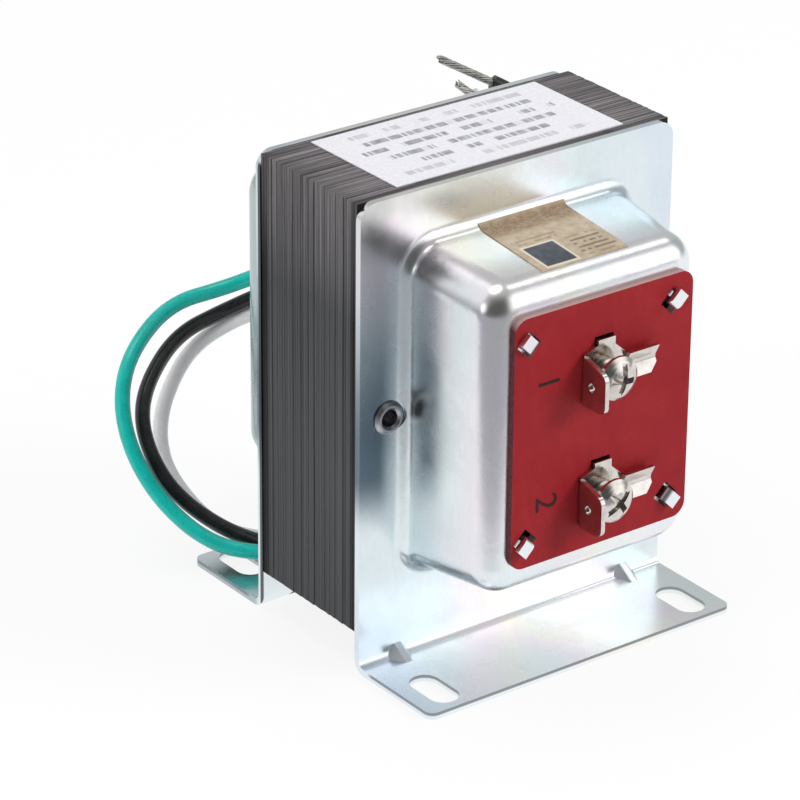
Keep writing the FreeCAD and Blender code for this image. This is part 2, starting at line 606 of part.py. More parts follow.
def terminal_screw(z, turn):
    """Binding-head screw with a slot and a cross recess."""
    top = -SCREW_UNDERSIDE - SCREW_RIM
    apex = top - SCREW_DOME
    tail = -BOX_FACE + SCREW_TAIL
    radius = SCREW_HEAD_R
    rise = SCREW_DOME
    sphere_r = (radius * radius + rise * rise) / (2 * rise)
    steps = 6
    dome = []
    for i in range(steps + 1):
        r = radius * (1 - i / steps)
        dome.append((r, top + sphere_r - rise - math.sqrt(sphere_r ** 2 - r ** 2)))
    profile = [(0, tail), (SCREW_R - 0.5, tail), (SCREW_R, tail - 0.5), (SCREW_R, -SCREW_UNDERSIDE),
               (radius, -SCREW_UNDERSIDE)] + dome
    screw = revolved(profile, Vec(TERMINAL_X, 0, z))
    for length, depth, angle in ((DRIVE_SLOT_LENGTH, DRIVE_SLOT_DEPTH, 0),
                                 (DRIVE_CROSS_LENGTH, DRIVE_CROSS_DEPTH, 0),
                                 (DRIVE_CROSS_LENGTH, DRIVE_CROSS_DEPTH, 90)):
        cut = block(TERMINAL_X - DRIVE_W / 2, TERMINAL_X + DRIVE_W / 2, apex - 1, apex + depth,
                    z - length / 2, z + length / 2)
        cut.rotate(Vec(TERMINAL_X, 0, z), Vec(0, 1, 0), turn + angle)
        screw = screw.cut(cut)
    return screw


def rating_label():
    top = CORE_BOTTOM + CORE_H
    return block(RATING_X - RATING_W / 2, RATING_X + RATING_W / 2, RATING_Y - RATING_D / 2,
                 RATING_Y + RATING_D / 2, top, top + LABEL_T)


def cover_label():
    """Lies on the drawn box's sloping top, its two ends following the curves there."""
    top = CORE_MID + BOX_H / 2
    along = Vec(0, -math.cos(BOX_DRAFT), -math.sin(BOX_DRAFT))
    normal = Vec(0, -math.sin(BOX_DRAFT), math.cos(BOX_DRAFT))
    left = Vec(GOLD_X - GOLD_W / 2, 0, 0)
    rise = (1 - math.sin(BOX_DRAFT)) / math.cos(BOX_DRAFT)
    base_centre = Vec(0, -PLATE_FACE - BOX_BASE_R, top + BOX_BASE_R * rise) + left
    edge_drop = BOX_DEPTH * math.tan(BOX_DRAFT)
    edge_centre = Vec(0, -BOX_FACE + BOX_FRONT_R,
                      top - edge_drop + BOX_FRONT_R * math.tan(BOX_DRAFT)
                      - BOX_FRONT_R / math.cos(BOX_DRAFT)) + left

    def on_curve(centre, radius, angle):
        """angle is measured from the way the straight stretch faces."""
        return centre + (normal * math.cos(angle) + along * math.sin(angle)) * radius

    def side(lift):
        base_r = -(BOX_BASE_R - lift)
        edge_r = BOX_FRONT_R + lift
        curl = [on_curve(base_centre, base_r, angle) for angle in (GOLD_CURL, GOLD_CURL / 2, 0)]
        fall = [on_curve(edge_centre, edge_r, angle) for angle in (0, GOLD_OVERHANG / 2, GOLD_OVERHANG)]
        return curl, fall

    low_curl, low_fall = side(0)
    high_curl, high_fall = side(LABEL_T)
    wire = Part.Wire([
        Part.Arc(*low_curl).toShape(),
        Part.LineSegment(low_curl[2], low_fall[0]).toShape(),
        Part.Arc(*low_fall).toShape(),
        Part.LineSegment(low_fall[2], high_fall[2]).toShape(),
        Part.Arc(*reversed(high_fall)).toShape(),
        Part.LineSegment(high_fall[0], high_curl[2]).toShape(),
        Part.Arc(*reversed(high_curl)).toShape(),
        Part.LineSegment(high_curl[0], low_curl[0]).toShape(),
    ])
    return Part.Face(wire).extrude(Vec(GOLD_W, 0, 0))


def ring(x0, x1, inner_y, inner_z, outer_y, outer_z, corner_r):
    """A rectangular sleeve about the centre leg, its outside corners rounded."""
    outer = block(x0, x1, -outer_y, outer_y, CORE_MID - outer_z, CORE_MID + outer_z)
    if corner_r > 0:
        outer = rounded(outer, corner_r, along_x)
    inner = block(x0 - 1, x1 + 1, -inner_y, inner_y, CORE_MID - inner_z, CORE_MID + inner_z)
    return outer.cut(inner)


def bobbin():
    tube = ring(-BOBBIN_HALF, BOBBIN_HALF, TUBE_Y - BOBBIN_T, TUBE_Z - BOBBIN_T, TUBE_Y, TUBE_Z, 0)
    for x in (-BOBBIN_HALF, -BOBBIN_T / 2, BOBBIN_HALF - BOBBIN_T):
        flange = ring(x, x + BOBBIN_T, TUBE_Y - BOBBIN_T, TUBE_Z - BOBBIN_T, FLANGE_REACH_Y,
                      FLANGE_REACH_Z, FLANGE_CORNER_R)
        tube = tube.fuse(flange)
    return tube.removeSplitter()


def chamber(side):
    """Ends of the winding space on one side of the middle flange."""
    near = BOBBIN_T / 2
    far = BOBBIN_HALF - BOBBIN_T
    return (-far, -near) if side < 0 else (near, far)


def winding(side):
    x0, x1 = chamber(side)
    return ring(x0, x1, TUBE_Y, TUBE_Z, TUBE_Y + WINDING_BUILD, TUBE_Z + WINDING_BUILD, WINDING_CORNER_R)


def wrap(side):
    x0, x1 = chamber(side)
    build_y = TUBE_Y + WINDING_BUILD
    build_z = TUBE_Z + WINDING_BUILD
    outer = block(x0, x1, -build_y - WRAP_T, build_y + WRAP_T,
                  CORE_MID - build_z - WRAP_T, CORE_MID + build_z + WRAP_T)
    inner = block(x0 - 1, x1 + 1, -build_y, build_y, CORE_MID - build_z, CORE_MID + build_z)
    outer = rounded(outer, WINDING_CORNER_R + WRAP_T, along_x)
    return outer.cut(rounded(inner, WINDING_CORNER_R, along_x))


def bent_path(points, radii):
    """Straight runs joined by tangent arcs, one radius for each inner point."""
    edges = []
    start = points[0]
    for before, corner, after, radius in zip(points, points[1:], points[2:], radii):
        way_in = (corner - before).normalize()
        way_out = (after - corner).normalize()
        turn = way_in.getAngle(way_out)
        setback = radius * math.tan(turn / 2)
        arc_start = corner - way_in * setback
        arc_end = corner + way_out * setback
        to_centre = (way_out - way_in).normalize()
        reach = radius * (1 / math.cos(turn / 2) - 1)
        arc_mid = corner + to_centre * reach
        edges.append(Part.LineSegment(start, arc_start).toShape())
        edges.append(Part.Arc(arc_start, arc_mid, arc_end).toShape())
        start = arc_end
    edges.append(Part.LineSegment(start, points[-1]).toShape())
    return Part.Wire(edges)


def tube_along(path, radius):
    first = path.Edges[0]
    start = first.valueAt(first.FirstParameter)
    way = first.tangentAt(first.FirstParameter)
    section = Part.Wire([Part.Circle(start, way, radius).toShape()])
    return path.makePipeShell([section], True, False)


def inner_wire(points, radius, bend_r):
    return tube_along(bent_path(points, [bend_r] * (len(points) - 2)), radius)


def lead_exit(row):
    """Where a lead crosses the outer face of the bushing; row 1 is the highest."""
    return Vec(0, REAR_REACH, BUSHING_Z + row * LEAD_PITCH)


def lead_bushing():
    flange_front = BOX_FACE
    flange = rod(BUSHING_FLANGE_R, Vec(0, flange_front, BUSHING_Z), Vec(0, REAR_REACH, BUSHING_Z))
    rim = [edge for edge in flange.Edges if len(edge.Vertexes) == 1 and edge.Vertexes[0].Y > REAR_REACH - 0.01]
    flange = flange.makeFillet(BUSHING_FLANGE_T / 2, rim)
    inside = BOX_FACE - SHEET
    barrel = rod(BUSHING_BARREL_R, Vec(0, inside - BUSHING_LIP_T, BUSHING_Z), Vec(0, flange_front, BUSHING_Z))
    lip = Part.makeCone(BUSHING_BARREL_R, BUSHING_LIP_R, BUSHING_LIP_T,
                        Vec(0, inside - BUSHING_LIP_T, BUSHING_Z), Vec(0, 1, 0))
    bore = rod(BUSHING_BORE_R, Vec(0, inside - 3, BUSHING_Z), Vec(0, REAR_REACH + 1, BUSHING_Z))
    return flange.fuse(barrel).fuse(lip).cut(bore).removeSplitter()


def splice(start, end):
    sleeve = rod(SPLICE_R, start, end)
    rims = [edge for edge in sleeve.Edges if len(edge.Vertexes) == 1]
    return sleeve.makeFillet(0.4, rims)


def insulator(side):
    """Paper sheet across the bobbin's flanges, with a hole for each wire."""
    y0 = FLANGE_REACH_Y if side > 0 else -INSULATOR_BACK
    sheet = block(-INSULATOR_W / 2, INSULATOR_W / 2, y0, y0 + INSULATOR_T,
                  CORE_MID - INSULATOR_H / 2, CORE_MID + INSULATOR_H / 2)
    sheet = rounded(sheet, INSULATOR_CORNER_R, along_y)
    if side > 0:
        places = [(FUSE_WIRE_X, BUSHING_Z), (RETURN_WIRE_X, RETURN_WIRE_Z)]
    else:
        places = [(SECONDARY_WIRE_X, z) for z in SCREW_Z.values()]
    for x, z in places:
        sheet = sheet.cut(rod(WIRE_R + WIRE_PLAY, Vec(x, y0 - 1, z), Vec(x, y0 + INSULATOR_T + 1, z)))
    return sheet


def inner_lead_black():
    exit_point = lead_exit(0)
    corner = Vec(0, INNER_LEAD_Y, exit_point.z)
    return inner_wire([exit_point, corner, Vec(BLACK_SPLICE_START, corner.y, corner.z)], LEAD_R, INNER_BEND_R)


def inner_lead_white():
    exit_point = lead_exit(-1)
    corner = Vec(0, INNER_LEAD_Y, exit_point.z)
    return inner_wire([exit_point, corner, Vec(0, corner.y, WHITE_SPLICE_TOP)], LEAD_R, INNER_BEND_R)


def inner_lead_green():
    exit_point = lead_exit(1)
    corner = Vec(0, INNER_LEAD_Y, exit_point.z)
    return inner_wire([exit_point, corner, Vec(LUG_START, corner.y, corner.z)], LEAD_R, INNER_BEND_R)


def ground_lug():
    """Crimped on the green lead and welded to the inside of the rear cover."""
    z = lead_exit(1).z
    inside = BOX_FACE - SHEET
    barrel = rod(LEAD_R + 0.2, Vec(LUG_START, INNER_LEAD_Y, z), Vec(LUG_START + 2.5, INNER_LEAD_Y, z))
    step = block(LUG_START + 1.6, LUG_START + 2.5, INNER_LEAD_Y, inside, z - LEAD_R, z + LEAD_R)
    tongue = block(LUG_START + 1.6, LUG_START + 2.5 + LUG_LENGTH, inside - LUG_T, inside,
                   z - LUG_W / 2, z + LUG_W / 2)
    return barrel.fuse(step).fuse(tongue).removeSplitter()


def black_splice():
    z = BUSHING_Z
    return splice(Vec(BLACK_SPLICE_START, INNER_LEAD_Y, z), Vec(BLACK_SPLICE_END, INNER_LEAD_Y, z))


def white_splice():
    return splice(Vec(0, INNER_LEAD_Y, WHITE_SPLICE_TOP), Vec(0, INNER_LEAD_Y, WHITE_SPLICE_BOTTOM))


def thermal_fuse():
    """Lies on the primary's wrapping, with its two lead wires."""
    z = BUSHING_Z
    fuse_y = WRAP_Y + FUSE_R
    near = FUSE_WIRE_X + 2.2
    body = rod(FUSE_R, Vec(near, fuse_y, z), Vec(near + FUSE_LENGTH, fuse_y, z))
    body = body.makeFillet(0.3, [edge for edge in body.Edges if len(edge.Vertexes) == 1])
    feed = inner_wire([Vec(BLACK_SPLICE_END, INNER_LEAD_Y, z), Vec(FUSE_WIRE_X, INNER_LEAD_Y, z),
                       Vec(FUSE_WIRE_X, fuse_y, z), Vec(near + 0.5, fuse_y, z)], WIRE_R, WIRE_BEND_R)
    far = near + FUSE_LENGTH
    return body.fuse(feed).fuse(rod(WIRE_R, Vec(far - 0.5, fuse_y, z), Vec(-BOBBIN_T / 2 - 0.3, fuse_y, z)))


def primary_return_wire():
    return inner_wire([Vec(0, INNER_LEAD_Y, WHITE_SPLICE_BOTTOM), Vec(0, INNER_LEAD_Y, RETURN_WIRE_Z),
                       Vec(RETURN_WIRE_X, INNER_LEAD_Y, RETURN_WIRE_Z),
                       Vec(RETURN_WIRE_X, WRAP_Y, RETURN_WIRE_Z)], WIRE_R, WIRE_BEND_R)


def secondary_wire(z):
    """From the secondary's wrapping to the back of a terminal's collar."""
    collar_back = -BOX_FACE + COLLAR_FLARE_T
    touch_x = TERMINAL_X + (SCREW_R + COLLAR_FLARE_R) / 2
    turn_y = (collar_back - INSULATOR_BACK) / 2
    return inner_wire([Vec(SECONDARY_WIRE_X, -WRAP_Y, z), Vec(SECONDARY_WIRE_X, turn_y, z),
                       Vec(touch_x, turn_y, z), Vec(touch_x, collar_back, z)], WIRE_R, WIRE_BEND_R)


def bend_radii(points):
    """The largest tangent arc that the two runs at each inner point allow."""
    radii = []
    for before, corner, after in zip(points, points[1:], points[2:]):
        way_in = corner - before
        way_out = after - corner
        shorter = min(way_in.Length, way_out.Length)
        radii.append(0.45 * shorter / math.tan(way_in.getAngle(way_out) / 2))
    return radii


def free_lead(colour):
    points = [lead_exit(LEAD_ROWS[colour])] + [Vec(*place) for place in LEAD_ROUTES[colour]]
    radii = bend_radii(points)
    path = bent_path(points, radii)
    lead = tube_along(path, LEAD_R)
    ratio = lead.Volume / (math.pi * LEAD_R ** 2 * path.Length)
    print("lead", colour, "length", round(path.Length, 1), "volume ratio", round(ratio, 4))
    print("bend radii", [round(radius, 1) for radius in radii])
    return lead


def bare_strands(colour):
    """The stripped conductor at a lead's far end."""
    before, end = [Vec(*place) for place in LEAD_ROUTES[colour][-2:]]
    way = (end - before).normalize()
    return rod(STRIP_R, end, end + way * STRIP_LENGTH[colour])


def main():
    os.makedirs("parts", exist_ok=True)
    parts = laminations()
    parts["front_cover"] = front_cover()
    parts["rear_cover"] = rear_cover()
    parts["rivet_left"] = core_rivet(-RIVET_X)
    parts["rivet_right"] = core_rivet(RIVET_X)
    parts["terminal_board"] = terminal_board()
    for name, z in SCREW_Z.items():
        parts["terminal_plate_" + name] = terminal_plate(z)
        parts["terminal_screw_" + name] = terminal_screw(z, SCREW_TURN[name])
        parts["secondary_wire_" + name] = secondary_wire(z)
    parts["rating_label"] = rating_label()
    parts["cover_label"] = cover_label()
    parts["bobbin"] = bobbin()
    parts["primary_winding"] = winding(-1)
    parts["secondary_winding"] = winding(1)
    parts["primary_wrap"] = wrap(-1)
    parts["secondary_wrap"] = wrap(1)
    parts["front_insulator"] = insulator(-1)
    parts["rear_insulator"] = insulator(1)
    parts["lead_bushing"] = lead_bushing()
    parts["inner_lead_black"] = inner_lead_black()
    parts["inner_lead_white"] = inner_lead_white()
    parts["inner_lead_green"] = inner_lead_green()
    parts["ground_lug"] = ground_lug()
    parts["splice_black"] = black_splice()
    parts["splice_white"] = white_splice()
    parts["thermal_fuse"] = thermal_fuse()
    parts["primary_return_wire"] = primary_return_wire()
    for colour in LEAD_ROWS:
        parts["lead_" + colour] = free_lead(colour)
        parts["strands_" + colour] = bare_strands(colour)
    for name, shape in parts.items():
        shape.translate(Vec(0, Y_SHIFT, 0))
        shape.exportStep("parts/" + name + ".step")
        print(name, len(shape.Solids), round(shape.Volume, 1), shape.isValid())
    print("shift", round(Y_SHIFT, 3))


main()
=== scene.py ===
"""Doorbell transformer: finishes, leads, sheets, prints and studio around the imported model.
Everything is in metres in the part's own frame; sizes in millimetres end in _MM or pass
through mm()."""
import bmesh
import bpy
import math
import random
from mathutils import Matrix, Vector


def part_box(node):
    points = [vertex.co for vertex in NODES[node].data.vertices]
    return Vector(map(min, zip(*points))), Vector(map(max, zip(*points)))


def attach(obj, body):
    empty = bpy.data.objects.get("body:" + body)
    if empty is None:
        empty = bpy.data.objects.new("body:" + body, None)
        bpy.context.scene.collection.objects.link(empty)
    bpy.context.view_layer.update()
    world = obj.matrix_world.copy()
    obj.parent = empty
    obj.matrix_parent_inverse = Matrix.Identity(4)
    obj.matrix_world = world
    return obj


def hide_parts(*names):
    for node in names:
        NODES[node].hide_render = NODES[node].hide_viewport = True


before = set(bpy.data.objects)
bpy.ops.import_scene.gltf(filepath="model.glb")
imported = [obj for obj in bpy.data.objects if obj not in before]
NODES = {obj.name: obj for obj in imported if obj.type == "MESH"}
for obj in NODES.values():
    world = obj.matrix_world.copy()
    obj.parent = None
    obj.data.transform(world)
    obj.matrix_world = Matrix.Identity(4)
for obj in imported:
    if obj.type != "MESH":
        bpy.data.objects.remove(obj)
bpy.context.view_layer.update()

MM = 0.001


def mm(*values):
    return Vector([value * MM for value in values])


# The part's sizes, in millimetres, from the core's middle
LAYERS = 18
LAYER_MM = 1.264
CORE_HALF_MM = LAYERS * LAYER_MM / 2
CORE_BOTTOM_MM = 6.2
CORE_UNIT_MM = 11.0
CORE_MID_MM = CORE_BOTTOM_MM + 3 * CORE_UNIT_MM
BOARD_FACE_MM = 30.926
PLATE_FACE_MM = BOARD_FACE_MM + 0.7
LEAD_R_MM = 1.175
SHIFT_MM = (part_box("bobbin")[0].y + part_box("bobbin")[1].y) / 2 / MM


def core(x, y, z):
    """A point given in millimetres from the core's middle, in the part's frame."""
    return mm(x, y + SHIFT_MM, z)


# Camera: where it stands and how it is turned
CAMERA_AT_MM = (-339.85, -435.9, 294.38)
CAMERA_AZIMUTH = -37.0
CAMERA_ELEVATION = 25.51
CAMERA_ROLL = 0.51
CAMERA_LENS_MM = 189.5


def set_camera():
    azimuth = math.radians(CAMERA_AZIMUTH)
    elevation = math.radians(CAMERA_ELEVATION)
    roll = math.radians(CAMERA_ROLL)
    flat = math.cos(elevation)
    back = Vector((math.sin(azimuth) * flat, -math.cos(azimuth) * flat, math.sin(elevation)))
    right = (-back).cross(Vector((0, 0, 1))).normalized()
    up = right.cross(-back)
    turned_right = right * math.cos(roll) + up * math.sin(roll)
    turned_up = up * math.cos(roll) - right * math.sin(roll)
    camera = bpy.data.objects.new("camera", bpy.data.cameras.new("camera"))
    camera.data.lens = CAMERA_LENS_MM
    camera.data.sensor_width = 36
    camera.data.clip_start = 0.01
    camera.data.clip_end = 20
    matrix = Matrix((turned_right, turned_up, back)).transposed().to_4x4()
    matrix.translation = core(*CAMERA_AT_MM)
    camera.matrix_world = matrix
    bpy.context.scene.collection.objects.link(camera)
    bpy.context.scene.camera = camera


# Node materials
class Graph:
    """Short calls for the nodes that the finishes and the world share. Places are in millimetres."""

    def __init__(self, tree):
        self.tree = tree

    def node(self, kind, *inputs, **settings):
        node = self.tree.nodes.new(kind)
        for key, value in settings.items():
            setattr(node, key, value)
        for socket, value in zip(node.inputs, inputs):
            self.feed(socket, value)
        return node

    def feed(self, socket, value):
        if isinstance(value, bpy.types.NodeSocket):
            self.tree.links.new(value, socket)
        elif value is not None:
            socket.default_value = value

    def place(self, x=1.0, y=1.0, z=1.0):
        """Position in millimetres, stretched by the three numbers."""
        coordinate = self.node("ShaderNodeTexCoord").outputs["Object"]
        mapping = self.node("ShaderNodeMapping", coordinate)
        mapping.inputs["Scale"].default_value = (x / MM, y / MM, z / MM)
        return mapping.outputs[0]

    def axes(self, vector=None):
        return self.node("ShaderNodeSeparateXYZ", vector or self.place()).outputs

    def normal_axes(self):
        return self.axes(self.node("ShaderNodeNewGeometry").outputs["Normal"])

    def math(self, operation, a, b=0.0, c=0.0):
        return self.node("ShaderNodeMath", a, b, c, operation=operation).outputs[0]

    def noise(self, vector, scale, detail=3.0, roughness=0.55, distortion=0.0):
        node = self.node("ShaderNodeTexNoise", vector)
        node.inputs["Scale"].default_value = scale
        node.inputs["Detail"].default_value = detail
        node.inputs["Roughness"].default_value = roughness
        node.inputs["Distortion"].default_value = distortion
        return node.outputs["Fac"]

    def cells(self, value):
        """A random number for each whole number."""
        floor = self.math("FLOOR", value)
        return self.node("ShaderNodeTexWhiteNoise", None, floor, noise_dimensions="1D").outputs["Value"]

    def span(self, value, low, high, to_low=0.0, to_high=1.0, smooth=False):
        node = self.node("ShaderNodeMapRange", value, low, high, to_low, to_high)
        if smooth:
            node.interpolation_type = "SMOOTHSTEP"
        return node.outputs[0]

    def between(self, value, low, high, soft=0.02):
        """1 where the value lies between two limits, else 0."""
        above = self.span(value, low - soft, low + soft)
        below = self.span(value, high - soft, high + soft, 1.0, 0.0)
        return self.math("MULTIPLY", above, below)

    def ramp(self, value, *stops):
        node = self.node("ShaderNodeValToRGB", value)
        elements = node.color_ramp.elements
        while len(elements) < len(stops):
            elements.new(0.5)
        for element, (position, colour) in zip(elements, stops):
            element.position = position
            element.color = (*colour, 1.0)
        return node.outputs[0]

    def mix(self, factor, a, b):
        node = self.tree.nodes.new("ShaderNodeMix")
        node.data_type = "RGBA"
        for index, value in ((0, factor), (6, a), (7, b)):
            if isinstance(value, tuple):
                value = (*value, 1.0)
            self.feed(node.inputs[index], value)
        return node.outputs[2]

    def bump(self, height, distance_mm, strength=1.0, before=None):
        node = self.node("ShaderNodeBump")
        node.inputs["Strength"].default_value = strength
        node.inputs["Distance"].default_value = distance_mm * MM
        self.feed(node.inputs["Height"], height)
        if before:
            self.feed(node.inputs["Normal"], before)
        return node.outputs[0]


class Finish(Graph):
    """A material with one main shader."""

    def __init__(self, name, **constants):
        self.material = bpy.data.materials.new(name)
        self.material.use_nodes = True
        super().__init__(self.material.node_tree)
        self.shader = self.tree.nodes["Principled BSDF"]
        for socket, value in constants.items():
            self.set(socket.replace("_", " "), value)

    def set(self, socket, value):
        names = {name.lower(): name for name in self.shader.inputs.keys()}
        target = self.shader.inputs[names[socket.lower()]]
        if isinstance(value, bpy.types.NodeSocket):
            self.tree.links.new(value, target)
        else:
            if isinstance(value, tuple):
                value = (*value, 1.0)
            target.default_value = value


def zinc_bloom_and_foot_highlight(f, place, x, z):
    """Pale zinc with the thin rainbow bloom of clear passivation, and a painted highlight that whitens it
    low down, most on the feet.
    """
    bloom = f.noise(f.place(1.0, 1.0, 0.6), 0.060, 1.0, 0.4, 0.3)
    drift = f.math("MULTIPLY_ADD", bloom, 46.0, f.math("MULTIPLY_ADD", z, 0.22, x))
    tint = f.ramp(f.span(drift, -9.0, 62.0), (0.00, (0.70, 0.79, 0.90)), (0.14, (0.78, 0.90, 0.93)),
                  (0.28, (0.84, 0.91, 0.94)), (0.40, (0.97, 0.85, 0.92)), (0.50, (0.96, 0.93, 0.82)),
                  (0.60, (0.91, 0.95, 0.94)), (0.72, (0.91, 0.87, 0.94)), (0.86, (0.79, 0.92, 0.91)),
                  (1.00, (0.71, 0.80, 0.90)))
    cloud = f.noise(place, 0.05, 2.0)
    plain = f.ramp(cloud, (0.35, (0.73, 0.80, 0.83)), (0.65, (0.85, 0.89, 0.89)))
    colour = f.mix(0.60, plain, tint)
    grain = f.noise(f.place(1.0, 1.0, 0.25), 1.6, 4.0, 0.6)
    colour = f.mix(f.span(grain, 0.35, 0.75, 0.0, 0.14), colour, (0.58, 0.62, 0.66))
    # painted highlight: the zinc and its bloom are whitened below about 20 mm, most on the feet
    foot = f.span(z, 1.8, 4.5, 0.85, 0.22, True)
    painted_foot_highlight = f.math("MULTIPLY", foot, f.span(z, 8.0, 20.0, 1.0, 0.0, True))
    return f.mix(painted_foot_highlight, colour, f.mix(0.40, tint, (1.0, 1.0, 1.0)))


def zinc_painted_reflections(f, colour, place, x, z, behind):
    """Painted reflections and shade: slate grey along the plates' left edge, grey on the rear cover's left
    wall and near-black on its plate's left edge.
    """
    # painted dark reflection: slate grey on the plates' left strip
    wander = f.math("MULTIPLY_ADD", f.noise(place, 0.09, 2.0), 1.6, -0.8)
    side = f.span(f.math("ADD", x, wander), -24.4, -20.8, 1.0, 0.0, True)
    low = f.span(z, 21.0, 31.0, smooth=True)
    height = f.math("MULTIPLY", low, f.span(z, 36.0, 64.0, 1.0, 0.20, True))
    painted_slate_reflection = f.math("MULTIPLY", f.math("MULTIPLY", side, height), 0.95)
    colour = f.mix(painted_slate_reflection, colour, (0.11, 0.165, 0.21))
    # painted reflection: grey on the rear cover's left wall
    leftward = f.span(f.normal_axes()[0], -0.80, -0.25, 1.0, 0.0, True)
    rear = f.math("MULTIPLY", f.span(behind, 12.2, 13.5), leftward)
    colour = f.mix(f.math("MULTIPLY", rear, 0.80), colour, (0.36, 0.43, 0.44))
    # painted shade: near-black on the rear plate's left edge
    edge = f.math("MULTIPLY", f.between(behind, 10.8, 11.95, 0.08), f.span(x, -27.6, -27.4, 1.0, 0.0))
    return f.mix(f.math("MULTIPLY", edge, 0.9), colour, (0.03, 0.035, 0.04))


def zinc_finish():
    """Bright zinc, with a painted dark reflection on the upright edge faces of the feet."""
    f = Finish("zinc_plate", metallic=1.0)
    place = f.place()
    x, y, z = f.axes(place)
    behind = f.math("SUBTRACT", y, SHIFT_MM)
    colour = zinc_painted_reflections(f, zinc_bloom_and_foot_highlight(f, place, x, z), place, x, z, behind)
    # painted dark reflection: steel grey on the feet's upright edge faces
    upright = f.span(f.math("ABSOLUTE", f.normal_axes()[2]), 0.3, 0.6, 1.0, 0.0)
    cut = f.math("MULTIPLY", upright, f.between(z, 0.55, 1.20, 0.08))
    cut = f.math("MULTIPLY", cut, f.span(f.math("ABSOLUTE", behind), 14.5, 15.5))
    f.set("base color", f.mix(f.math("MULTIPLY", cut, 0.9), colour, (0.22, 0.24, 0.26)))
    smudge = f.noise(place, 0.14, 3.0, 0.6, 0.4)
    f.set("roughness", f.span(smudge, 0.3, 0.7, 0.20, 0.31))
    waves = f.bump(f.noise(place, 0.06, 1.0, 0.4), 0.15, 0.4)
    f.set("normal", f.bump(f.noise(place, 2.2, 3.0, 0.6), 0.0015, 0.4, waves))
    return f.material


def bright_finish(name, colour, low, high, scratch_scale=1.4):
    """Plated small metal: nickel, rivet steel or tin."""
    f = Finish(name, metallic=1.0)
    place = f.place()
    mottle = f.noise(place, 0.7, 3.0, 0.6)
    dark = tuple(channel * 0.72 for channel in colour)
    f.set("base color", f.mix(f.span(mottle, 0.35, 0.75), colour, dark))
    f.set("roughness", f.span(f.noise(place, 1.9, 2.0, 0.5), 0.3, 0.7, low, high))
    scratches = f.noise(f.place(0.3, 1.0, 1.0), scratch_scale, 4.0, 0.65)
    f.set("normal", f.bump(scratches, 0.02, 0.45))
    return f.material


def sheet_finish():
    """Charcoal oxide on the sheets' cut edges with a dark line between sheets, painted lighter on top and
    darker on the side as lit and shaded copies, and painted shade next to both covers.
    """
    f = Finish("sheet_edges", metallic=0.2, specular_ior_level=0.3)
    depth = f.math("SUBTRACT", f.axes()[1], SHIFT_MM)
    sheet = f.math("DIVIDE", f.math("ADD", depth, CORE_HALF_MM), LAYER_MM / 2)
    tone = f.cells(sheet)
    streak = f.noise(f.place(0.05, 1.7, 0.05), 1.0, 5.0, 0.72)
    spread = f.math("ADD", f.math("MULTIPLY", tone, 0.20), f.math("MULTIPLY", streak, 0.80))
    # painted light: the side ramp is a shaded copy and the top ramp a lit copy of one oxide
    side = f.ramp(spread, (0.30, (0.044, 0.046, 0.049)), (0.46, (0.064, 0.067, 0.072)),
                  (0.60, (0.080, 0.083, 0.089)), (0.76, (0.105, 0.107, 0.113)))
    top = f.ramp(spread, (0.30, (0.060, 0.055, 0.058)), (0.46, (0.165, 0.150, 0.157)),
                 (0.60, (0.265, 0.245, 0.255)), (0.76, (0.40, 0.375, 0.385)))
    up = f.span(f.normal_axes()[2], 0.4, 0.8)
    colour = f.mix(up, side, top)
    seam = f.span(f.math("ABSOLUTE", f.math("SUBTRACT", f.math("FRACT", sheet), 0.5)), 0.26, 0.46)
    depth_of_seam = f.span(f.cells(f.math("ADD", sheet, 40.5)), 0.25, 0.9, 0.15, 1.0)
    broken = f.span(f.noise(f.place(0.12, 1.7, 0.12), 1.0, 2.0), 0.35, 0.60, 0.35, 1.0)
    seam = f.math("MULTIPLY", seam, f.math("MULTIPLY", depth_of_seam, broken))
    seam = f.math("MULTIPLY", seam, f.span(up, 0.0, 1.0, 0.60, 0.85))
    colour = f.mix(seam, colour, (0.010, 0.010, 0.011))
    # painted shade: the sheets darken next to both covers
    painted_cover_shade = f.span(f.math("ABSOLUTE", depth), CORE_HALF_MM - 1.9, CORE_HALF_MM - 1.0, smooth=True)
    painted_cover_shade = f.math("MULTIPLY", painted_cover_shade, f.math("SUBTRACT", 1.0, f.math("MULTIPLY", up, 0.75)))
    f.set("base color", f.mix(f.math("MULTIPLY", painted_cover_shade, 0.92), colour, (0.006, 0.006, 0.007)))
    f.set("roughness", f.span(streak, 0.3, 0.7, 0.48, 0.70))
    grooves = f.noise(f.place(0.2, 3.0, 0.2), 1.0, 3.0, 0.6)
    f.set("normal", f.bump(grooves, 0.06, 0.6))
    return f.material


